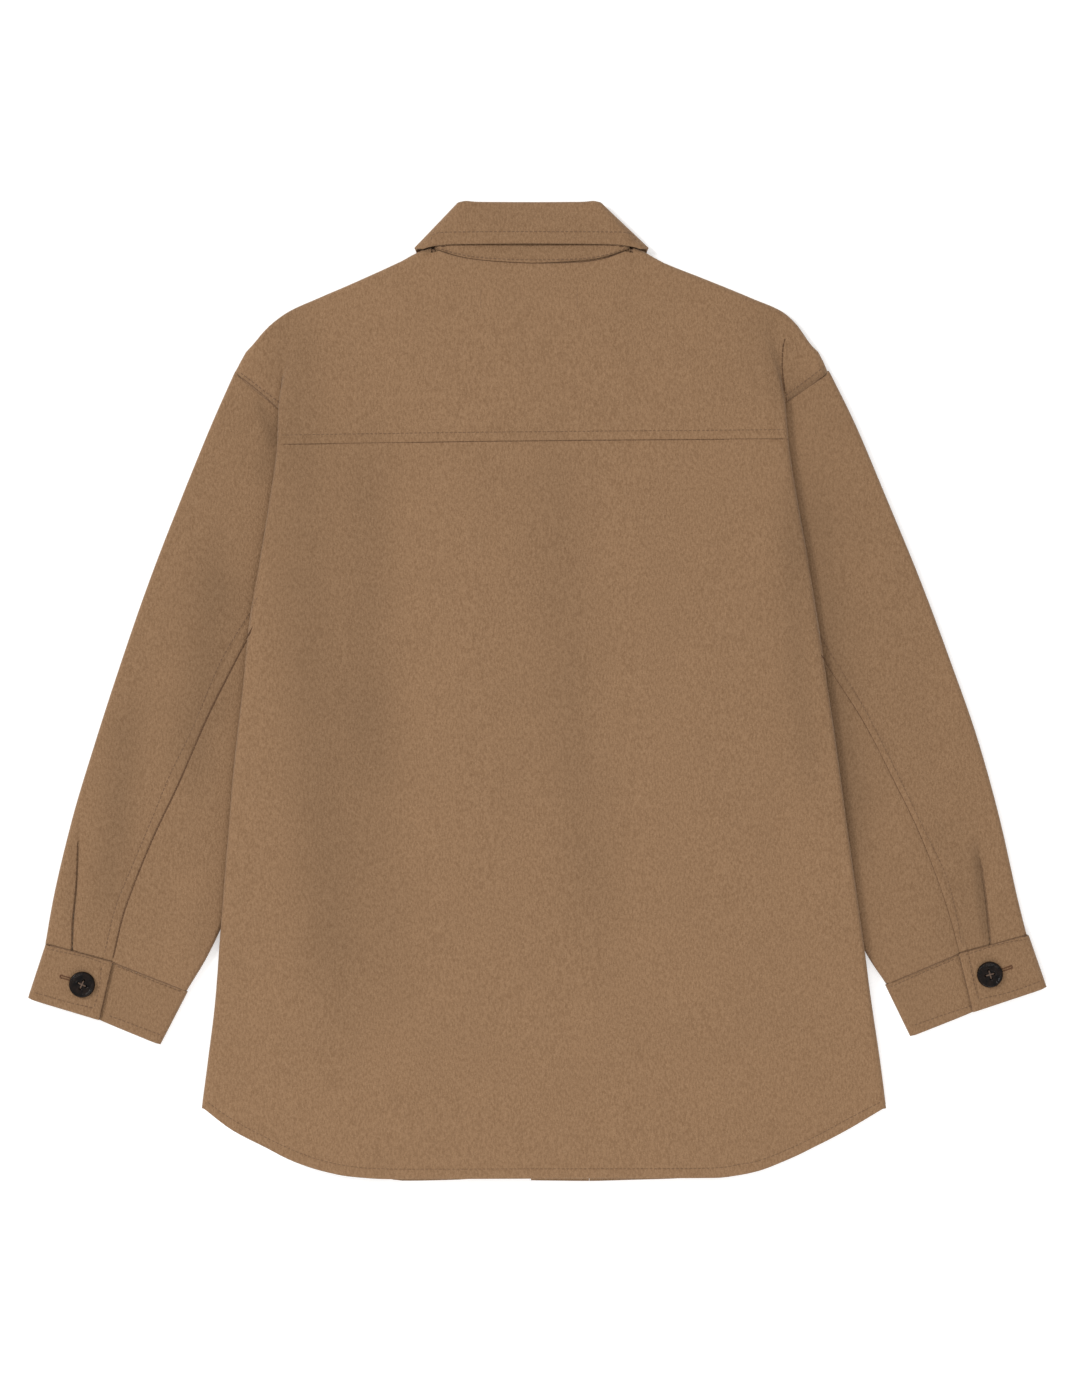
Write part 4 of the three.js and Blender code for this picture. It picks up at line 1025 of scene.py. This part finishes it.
def plain(name, dark, light, scale, rough, bump_at=0.0002, strength=0.3, coat=0.0):
    m, t, p = material(name)
    at = node(t, "ShaderNodeTexCoord")
    n = node(t, "ShaderNodeTexNoise", Scale=scale, Detail=4.0, Roughness=0.6)
    t.links.new(at.outputs["Object"], n.inputs["Vector"])
    r = ramp(t, [(0.35, dark), (0.68, light)])
    t.links.new(n.outputs["Fac"], r.inputs["Fac"])
    t.links.new(r.outputs["Color"], p.inputs["Base Color"])
    b = node(t, "ShaderNodeBump", Strength=strength, Distance=bump_at)
    t.links.new(n.outputs["Fac"], b.inputs["Height"])
    t.links.new(b.outputs["Normal"], p.inputs["Normal"])
    p.inputs["Roughness"].default_value = rough
    p.inputs["Coat Weight"].default_value = coat
    return m


# Painted shade on the back, yoke and fronts: soft bands darkened into the wool's colour where the cloth lies in shade,
# in its troughs and just inside the fold edges.
PAINTED_SHADE = [
    dict(x1=-205, y1=312, x2=-166, y2=-230, depth=0.060, wide=27),
    dict(x1=-140, y1=205, x2=-136, y2=-40, depth=0.045, wide=22),
    dict(x1=-142, y1=0, x2=-120, y2=-240, depth=0.030, wide=26),
    dict(x1=14, y1=200, x2=42, y2=-170, depth=0.036, wide=26),
    dict(x1=188, y1=316, x2=204, y2=240, depth=0.034, wide=24),
    dict(x1=206, y1=260, x2=214, y2=90, depth=0.030, wide=9),
    dict(x1=206, y1=140, x2=222, y2=-60, depth=0.048, wide=13),
    dict(x1=-245, y1=252, x2=-238, y2=226, depth=0.030, wide=16),
    dict(x1=-218, y1=225, x2=-232, y2=120, depth=0.030, wide=10),
]
# Painted shade on the sleeves: the body's shadow beside the body, the shade below the armholes and in the troughs; the
# one band of negative depth is a painted light.
PAINTED_SHADE_SLEEVE = [
    dict(x1=-229, y1=238, x2=-216, y2=204, depth=0.065, wide=5),
    dict(x1=-212, y1=228, x2=-226, y2=176, depth=0.050, wide=9),
    dict(x1=-266, y1=110, x2=-284, y2=-62, depth=0.060, wide=17),
    dict(x1=-246, y1=90, x2=-262, y2=-20, depth=0.030, wide=14),
    dict(x1=-336, y1=-20, x2=-352, y2=-170, depth=0.055, wide=15),
    dict(x1=228, y1=160, x2=262, y2=-90, depth=0.045, wide=20),
    dict(x1=236, y1=40, x2=262, y2=-130, depth=0.050, wide=12),
    dict(x1=334, y1=-110, x2=352, y2=-200, depth=0.030, wide=22),
    dict(x1=360, y1=-130, x2=369, y2=-204, depth=0.090, wide=4.5),
    dict(x1=-281, y1=-150, x2=-300, y2=-236, depth=-0.02, wide=14),
]
# The sleeve, cuff and collar copies are the same wool made darker, a painted shade.
WOOL = wool("wool_felt", 0.785)
WOOL_SLEEVE_SHADED = wool("wool_felt_sleeve_shaded", 0.745)
WOOL_CUFF_SHADED = wool("wool_felt_cuff_shaded", 0.735)
WOOL_COLLAR_SHADED = wool("wool_felt_collar_shaded", 0.75)
THREAD = plain("stitch_thread", (0.110, 0.055, 0.024), (0.165, 0.088, 0.042), 1500, 0.75)
# Painted seam shadow: dark colours for the lines laid in seams, creases and pleats where shade falls.
SEAM_SHADE = plain("painted_seam_shadow", (0.066, 0.030, 0.012), (0.110, 0.053, 0.022), 900, 0.95)
SEAM_SHADE_SOFT = plain("painted_seam_shadow_soft", (0.110, 0.056, 0.026), (0.160, 0.088, 0.044), 900, 0.95)
# Tack colour: the real tacks, the patches at the neck corners, and the faint painted seam shadows along the armholes.
TACK_AND_SEAM_SHADE = plain("tack_wool_and_seam_shade", (0.160, 0.088, 0.046), (0.215, 0.125, 0.068), 900, 0.95)
BUTTONHOLE = plain("buttonhole_thread", (0.086, 0.028, 0.007), (0.155, 0.060, 0.017), 1600, 0.6)
TIE = plain("button_thread", (0.08, 0.044, 0.027), (0.19, 0.12, 0.08), 1500, 0.65)
HORN = plain("button_horn", (0.0018, 0.0014, 0.0014), (0.0120, 0.0068, 0.0048), 240, 0.17, 0.0009, 0.8, 0.0)
HORN.node_tree.nodes["Principled BSDF"].inputs["Specular IOR Level"].default_value = 0.14
paper = plain("floor_white", (0.80, 0.80, 0.80), (0.82, 0.82, 0.82), 2.0, 0.9, 0.0, 0.0)
glow = paper.node_tree.nodes["Principled BSDF"]
glow.inputs["Emission Color"].default_value = (1, 1, 1, 1)
glow.inputs["Emission Strength"].default_value = 0.34
floor.data.materials.append(paper)

# ---------------------------------------------------------------- the cloth
cloth = []


def cloth_piece(o, nodes, flat, lies_on, mat=WOOL):
    o.data.materials.append(mat)
    # painted shade from the tables above, kept in each vertex's painted_shade colour
    table = PAINTED_SHADE_SLEEVE if mat is WOOL_SLEEVE_SHADED else PAINTED_SHADE if mat is WOOL else []
    shade_tone = []
    for v in o.data.vertices:
        x, y = v.co.x * 1000, v.co.y * 1000
        d = 0.0
        for s in table:
            dx, dy = s["x2"] - s["x1"], s["y2"] - s["y1"]
            far = math.hypot(dx, dy)
            f = ((x - s["x1"]) * dx + (y - s["y1"]) * dy) / (far * far)
            off = ((x - s["x1"]) * dy - (y - s["y1"]) * dx) / far
            if -0.2 < f < 1.25 and abs(off) < 3 * s["wide"]:
                d += s["depth"] * ease((f + 0.2) / 0.35) * ease((1.25 - f) / 0.35) * math.exp(-(off / s["wide"]) ** 2)
        k = (1 - d) ** 2.2
        shade_tone += [k, k, k, 1.0]
    attr = o.data.color_attributes.new("painted_shade", "FLOAT_COLOR", "POINT")
    attr.data.foreach_set("color", shade_tone)
    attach(o, "root")
    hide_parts(*nodes)
    o.data.calc_loop_triangles()
    area = sum(t.area for t in o.data.loop_triangles) / 2
    cloth.append((o, flat, lies_on, min(area, flat[0] * flat[1])))
    return o


cloth_piece(front(-1), ["front_left"], (0.33, 0.66), [])
cloth_piece(front(1), ["front_right"], (0.33, 0.66), [])
cloth_piece(placket(-1), ["placket_left"], (0.05, 0.69), ["cloth_placket_right"])
cloth_piece(placket(1), ["placket_right"], (0.05, 0.69), ["front_button_1"])
for s in (-1, 1):
    n = side_name(s)
    cloth_piece(sleeve_upper(s), [f"sleeve_{n}_upper"], (0.36, 0.56), [], WOOL_SLEEVE_SHADED)
    cloth_piece(sleeve_under(s), [f"sleeve_{n}_under"], (0.14, 0.46), [f"cloth_sleeve_{n}_upper"], WOOL_SLEEVE_SHADED)
    cloth_piece(cuff(s), [f"cuff_{n}"], (0.34, 0.06), [], WOOL_CUFF_SHADED)
cloth_piece(back_panel(), ["back_panel"], (0.66, 0.62), ["cloth_front_left", "cloth_front_right"])
cloth_piece(yoke(), ["back_yoke"], (0.56, 0.22), ["cloth_front_left", "cloth_front_right"])
cloth_piece(stand(), ["collar_stand"], (0.46, 0.05), ["cloth_collar_fall"], WOOL_COLLAR_SHADED)
cloth_piece(fall(), ["collar_fall"], (0.48, 0.08), [], WOOL_COLLAR_SHADED)
for o, flat, lies_on, area in cloth:
    share = area / (flat[0] * flat[1])
    print("SHEET", o.name, flat, round(area, 4), round(share, 2), len(o.data.polygons))

# ---------------------------------------------------------------- stitches, laid on the cloth
verts, faces = [], []
for o, *_ in cloth:
    k = len(verts)
    verts += [v.co.copy() for v in o.data.vertices]
    faces += [[k + i for i in p.vertices] for p in o.data.polygons]
skin = BVHTree.FromPolygons(verts, faces)
PX, PCX, PCY = 0.82, 537.0, 691.5


def from_photo(points):
    """Photo pixels to millimetres on the garment."""
    return [((x - PCX) * PX, (PCY - y) * PX) for x, y in points]


def drop(x, y, up=False):
    at = Vector((x / 1000, y / 1000, -0.05 if up else 0.1))
    hit, normal, _, _ = skin.ray_cast(at, Vector((0, 0, 1 if up else -1)))
    return hit, normal


def drop_beside(x, y, nx, ny, up=False):
    """On the higher of the two edges at a seam."""
    best = drop(x, y, up)
    for e in (-1.1, 1.1):
        h, n = drop(x + nx * e, y + ny * e, up)
        if h is not None and (best[0] is None or h.z > best[0].z + 0.0004):
            best = (Vector((x / 1000, y / 1000, h.z - 0.0004)), Vector((0, 0, 1)))
    return best


def dashes(name, lines, mat, pitch=3.6, length=2.7, wide=0.62, high=0.34, sink=0.10, up=False, seam=False):
    vs, fs = [], []
    for line in lines:
        p = np.array(line, float)
        far = np.concatenate([[0], np.cumsum(np.linalg.norm(np.diff(p, axis=0), axis=1))])
        n = max(1, int(far[-1] / pitch))
        for k in range(n):
            mid = (k + 0.5) * far[-1] / n + random.uniform(-0.12, 0.12)
            ends = [max(0, mid - length / 2), min(far[-1], mid + length / 2)]
            a, b = ([float(np.interp(e, far, p[:, c])) for c in (0, 1)] for e in ends)
            if seam:
                l = math.hypot(b[0] - a[0], b[1] - a[1])
                side = (-(b[1] - a[1]) / l, (b[0] - a[0]) / l)
                (ha, na), (hb, nb) = drop_beside(*a, *side), drop_beside(*b, *side)
            else:
                (ha, na), (hb, nb) = drop(*a, up), drop(*b, up)
            if ha is None or hb is None or (ha - hb).length > 0.006:
                continue
            along = (hb - ha).normalized()
            nrm = (na + nb).normalized()
            across = along.cross(nrm).normalized() * wide / 2000
            w = random.uniform(0.9, 1.1)
            base = len(vs)
            for f, s in ((0.0, 0.45), (0.18, 1.0), (0.5, 1.1), (0.82, 1.0), (1.0, 0.45)):
                c = ha.lerp(hb, f) - nrm * sink / 1000
                lift = nrm * (high if 0.1 < f < 0.9 else high * 0.3) / 1000
                vs += [c - across * s * w, c - across * s * w * 0.5 + lift, c + across * s * w * 0.5 + lift, c + across * s * w]
            for q in range(4):
                r0, r1 = base + q * 4, base + q * 4 + 4
                for e in range(3):
                    fs.append([r0 + e, r0 + e + 1, r1 + e + 1, r1 + e])
                fs.append([r0 + 3, r0, r1, r1 + 3])
            fs.append([base + 3, base + 2, base + 1, base])
            fs.append([base + 16, base + 17, base + 18, base + 19])
    o = mesh(name, vs, fs)
    o.data.materials.append(mat)
    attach(o, "root")
    return o


def curve_points(points, step=6):
    """A smooth line through a few points."""
    p = np.array(points, float)
    if len(p) < 3:
        return p.tolist()
    res = []
    e = np.vstack([2 * p[0] - p[1], p, 2 * p[-1] - p[-2]])
    for k in range(1, len(e) - 2):
        for i in range(8):
            f = i / 8
            a, b, c, d = e[k - 1], e[k], e[k + 1], e[k + 2]
            res.append((0.5 * (2 * b + (c - a) * f + (2 * a - 5 * b + 4 * c - d) * f * f + (3 * b - 3 * c + d - a) * f ** 3)).tolist())
    res.append(p[-1].tolist())
    return res


seams = {
    "stitch_collar": [[(431, 240.5), (436, 233.5), (470, 232.2), (532, 231.8), (600, 232.2), (630, 233.2), (636, 240.5)]],
    "stitch_neck": [[(436, 247.5), (452, 252.5), (474, 257), (506, 259.5), (540, 260.2), (580, 259), (604, 255.5), (620, 250.5), (630, 246.5)]],
    "stitch_yoke": [[(281, 435.5), (400, 433.5), (532, 432.0), (660, 431.0), (785, 430.0)]],
    "stitch_armholes": [[(236, 369.5), (252, 381.5), (266, 392.5), (280, 403)], [(826, 365.5), (812, 376.0), (799, 386.0), (785, 396)]],
    "stitch_sleeve_left": [[(258, 597), (250.5, 611), (221, 660), (191, 731), (170, 774), (152, 818), (129, 873), (115, 908), (104, 954)]],
    "stitch_sleeve_right": [[(822, 637), (828, 648), (861, 702), (885, 748), (906, 791), (926, 833), (947.5, 878), (957, 917), (962, 944)]],
    "stitch_cuff_left": [
        [(46, 948.6), (62, 952.4), (86, 957.4), (106, 964.4)], [(116, 966.8), (124, 969.5), (150, 980.5), (185, 994)],
        [(101, 967), (99.7, 983), (96.8, 997), (94, 1007.5)], [(93, 1008.5), (66, 1002), (40, 994.5), (34, 992.5)],
        [(108, 1016), (136, 1026.5), (160, 1035.5)],
    ],
    "stitch_cuff_right": [
        [(1028, 939.2), (1000, 944.6), (965, 955.4)], [(955, 959.5), (920, 974.5), (890, 988)],
        [(969, 956), (973, 977), (979, 999.5)], [(980, 999.5), (1010, 992.5), (1041, 981.5)],
        [(973, 1006), (944, 1015.5), (914.5, 1026)],
    ],
    "stitch_hem": [[(207, 1102.5), (232, 1120), (263, 1136.5), (297, 1152), (322, 1160.5), (352, 1166.5), (395, 1169.0), (540, 1168.8), (700, 1168.4),
                    (738, 1164.5), (759, 1160.5), (782, 1152), (817, 1136), (848, 1119.5), (881, 1102.5)]],
}
for label, lines in seams.items():
    wide = 0.95 if label in ("stitch_collar", "stitch_neck", "stitch_armholes", "stitch_sleeve_left") else 0.8 if "cuff" in label else 0.64
    dashes(label, [curve_points(from_photo(l)) for l in lines], THREAD, wide=wide, high=0.30)
# painted seam shadows: dark lines laid in the seams between two pieces and along the pleats, where shade falls
shadow_lines, mild, faint = [[(x, read(YOKE, "x", x, "y") - 0.1) for x in range(-216, 211, 6)]], [], []
for s in (-1, 1):
    t = sleeve_rows(s)
    v0 = 0.30 if s < 0 else 0.33
    shadow_lines.append([tuple(face_point(s, v, "s", "o", 0)) for v in [mix(v0, 0.995, k / 60) for k in range(61)]])
    faint.append([(arm_x(s, y), y) for y in [mix(256, 230, k / 8) for k in range(9)]])
    a, b = CUFF_L if s < 0 else CUFF_R
    (shadow_lines if s < 0 else mild).append([(mix(a["fx"], b["fx"], v) + -s * 0.6, mix(a["fy"] - 0.8, b["fy"], v)) for v in [k / 10 for k in range(11)]])
    mild.append([(a["ox"] - s * 1.2, a["oy"] - 0.2), (a["fx"], a["fy"] - 0.2)])
    mild.append([(a["fx"], a["fy"] - 0.4), (a["ix"] + s * 2.0, a["iy"] - 0.6)])
    (shadow_lines if s < 0 else mild).append((PLEAT_L if s < 0 else PLEAT_R)[:])
shadow_lines.append([(x, read(NECK, "x", x, "y") + 0.5) for x in range(-76, 70, 5)])
dashes("seam_shadow_lines", [curve_points(l) if len(l) < 8 else l for l in shadow_lines], SEAM_SHADE, 4.0, 4.6, 0.95, 0.10, 0.05, seam=True)
dashes("seam_shadow_lines_soft", [curve_points(l) if len(l) < 8 else l for l in mild], SEAM_SHADE_SOFT, 4.0, 4.6, 0.85, 0.10, 0.05, seam=True)
# a painted shadow line in the crease beside the right armhole, where the yoke rolls over the sleeve
dashes("armhole_crease_shadow", [curve_points(from_photo([(785.6, 338), (783.9, 343), (782.8, 352), (782.5, 364), (783.2, 376), (784.9, 389), (787, 401)]))],
       SEAM_SHADE, 4.0, 4.6, 1.6, 0.08, 0.05, seam=True)
# painted shadow lines along the seams of the sleeve heads
dashes("sleeve_head_seam_shadows", [curve_points(from_photo(l)) for l in ([(238.5, 375), (258, 390.6), (276.6, 407)], [(825.3, 374.3), (806.2, 388.6), (788.2, 400)])],
       SEAM_SHADE_SOFT, 4.0, 4.6, 1.0, 0.12, 0.05, seam=True)
# a darker painted shadow line along the left sleeve's back seam
dashes("sleeve_seam_shadow_left", [[tuple(face_point(-1, v, "s", "i", 0.010)) for v in [mix(0.31, 0.99, k / 70) for k in range(71)]]],
       SEAM_SHADE, 4.0, 4.6, 1.05, 0.12, 0.05)
# the shadow under the free edge of the collar, and the two corners of the neck
dashes("collar_shadow", [curve_points(from_photo([(441, 246.6), (450, 245.4), (480, 245.0), (532, 244.9), (590, 245.0), (613, 245.5), (624, 246.8)]))],
       SEAM_SHADE, 4.0, 4.6, 1.1, 0.10, 0.05)
dashes("neck_corners", [from_photo([(x, 247.8), (x + 0.2, 252.6)]) for x in (432.2, 433.9, 629.9, 631.1, 632.3)], TACK_AND_SEAM_SHADE, 2.1, 2.6, 1.9, 0.25, 0.05, seam=True)
# faint painted seam shadows along the armholes
dashes("seam_shadow_lines_faint", [curve_points(l) if len(l) < 8 else l for l in faint], TACK_AND_SEAM_SHADE, 4.0, 4.6, 0.8, 0.08, 0.05, seam=True)
# faint marks of two tacks on the yoke
dashes("stitch_tacks", [from_photo([(481, 290), (480.5, 300), (481, 309)]), from_photo([(577.5, 289), (577, 299), (578, 309)])], TACK_AND_SEAM_SHADE, 2.9, 2.8, 0.6, 0.16, 0.06)
# stitches of the fronts, on the side that lies down, where they clear the surface
dashes("stitch_bands", [[(centre_x(y) + e, y) for y in range(270, -392, -12)] for e in (-17, 17)], THREAD, up=True)

# ---------------------------------------------------------------- buttonholes on the cuffs
hole_lines = []
for a, b in (((61.5, 977.0), (84, 983.5)), ((1011.0, 967.5), (988, 975.5))):
    (x0, y0), (x1, y1) = from_photo([a, b])
    far = math.hypot(x1 - x0, y1 - y0)
    ux, uy = (x1 - x0) / far, (y1 - y0) / far
    for k in range(int(far / 0.62)):
        d = k * 0.62
        for s in (-1, 1):
            hole_lines.append([(x0 + ux * d - uy * 0.35 * s, y0 + uy * d + ux * 0.35 * s), (x0 + ux * d - uy * 1.55 * s, y0 + uy * d + ux * 1.55 * s)])
    for k in range(9):   # the round end
        th = math.pi * (0.5 + k / 8)
        c, s = math.cos(th), math.sin(th)
        dx, dy = ux * c - uy * s, uy * c + ux * s
        hole_lines.append([(x0 + dx * 0.5, y0 + dy * 0.5), (x0 + dx * 2.1, y0 + dy * 2.1)])
dashes("buttonholes", hole_lines, BUTTONHOLE, 1.3, 1.25, 0.6, 0.5, 0.08)


# ---------------------------------------------------------------- buttons
def button(name, x, y, z0, turn, face_down=False):
    """A turned button: raised rim, dished middle and four holes."""
    R, T = BUTTON_D / 2, BUTTON_T
    radii = [0, 0.5, 1.0, 1.5, 2.0, 2.35, 2.7, 3.05, 3.4, 3.75, 4.1, 4.5, 5.0, 5.6, 6.3, 7.0, 7.6, 8.1, 8.5, 8.9, 9.4, 9.9, 10.25, 10.5, R]
    n = 72

    def top(r):
        dish = T - 0.95 + 0.5 * (r / 8.2) ** 2 * 0.3
        rim = T - 0.35 * ((r - 9.3) / 1.0) ** 2 * 0.5
        k = ease((r - 7.8) / 0.9)
        z = mix(dish, min(T, rim), k)
        return z - 1.2 * ease((r - 9.9) / 0.75)

    vs, fs = [(0, 0, top(0))], []
    for r in radii[1:]:
        for k in range(n):
            a = 2 * math.pi * k / n
            px, py = r * math.cos(a), r * math.sin(a)
            d = min(math.hypot(px - sx * HOLE_OFF, py - sy * HOLE_OFF) for sx in (-1, 1) for sy in (-1, 1))
            vs.append((px, py, top(r) - 1.5 * (1 - ease((d - 0.75) / 0.6))))
    rings = len(radii) - 1
    for r, z in ((R, 0.7), (R - 0.5, 0.12), (R - 1.5, 0.0)):
        vs += [(r * math.cos(2 * math.pi * k / n), r * math.sin(2 * math.pi * k / n), z) for k in range(n)]
    vs.append((0, 0, 0))
    for k in range(n):
        fs.append([0, 1 + k, 1 + (k + 1) % n])
        for i in range(rings + 2):
            a, b = 1 + i * n, 1 + (i + 1) * n
            fs.append([a + k, b + k, b + (k + 1) % n, a + (k + 1) % n])
        a = 1 + (rings + 2) * n
        fs.append([len(vs) - 1, a + (k + 1) % n, a + k])
    c, s = math.cos(turn), math.sin(turn)
    flip = -1 if face_down else 1
    place = lambda v: ((x + (v[0] * c - v[1] * s) * flip) / 1000, (y + v[0] * s + v[1] * c) / 1000, (z0 + (T - v[2] if face_down else v[2])) / 1000)
    o = mesh(name + "_horn", [place(v) for v in vs], fs)
    o.data.materials.append(HORN)
    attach(o, "root")
    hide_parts(name)
    # thread crossing between the holes
    tv, tf = [], []
    for (ax, ay), (bx, by) in (((-1, -1), (1, 1)), ((-1, 1), (1, -1))):
        for off in (-0.28, 0.28):
            nx, ny = -(by - ay) / 2.83 * off, (bx - ax) / 2.83 * off
            m = 9
            for i in range(m):
                f = i / (m - 1)
                cx, cy = mix(ax, bx, f) * HOLE_OFF + nx, mix(ay, by, f) * HOLE_OFF + ny
                cz = T - 1.15 + 0.55 * math.sin(math.pi * f) ** 0.5 + (0.12 if ay < 0 else 0)
                for k in range(6):
                    a = 2 * math.pi * k / 6
                    tv.append((cx + 0.22 * math.cos(a) * nx / 0.28, cy + 0.22 * math.cos(a) * ny / 0.28, cz + 0.22 * math.sin(a)))
            b0 = len(tv) - m * 6
            for i in range(m - 1):
                for k in range(6):
                    tf.append([b0 + i * 6 + k, b0 + i * 6 + (k + 1) % 6, b0 + (i + 1) * 6 + (k + 1) % 6, b0 + (i + 1) * 6 + k])
            tf += [[b0 + k for k in range(6)][::-1], [b0 + (m - 1) * 6 + k for k in range(6)]]
    t = mesh(name + "_thread", [place(v) for v in tv], tf)
    t.data.materials.append(TIE)
    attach(t, "root")


for b, turn in zip(CUFF_BUTTONS, (0.35, -0.5)):
    button(b["name"], b["x"], b["y"], TAB_Z + CLOTH / 2 + GAP, turn)
for k in range(FRONT_BUTTONS["count"]):
    y = FRONT_BUTTONS["first"] - k * FRONT_BUTTONS["step"]
    button(f"front_button_{k + 1}", centre_x(y), y, 0, 0.3 * k, True)
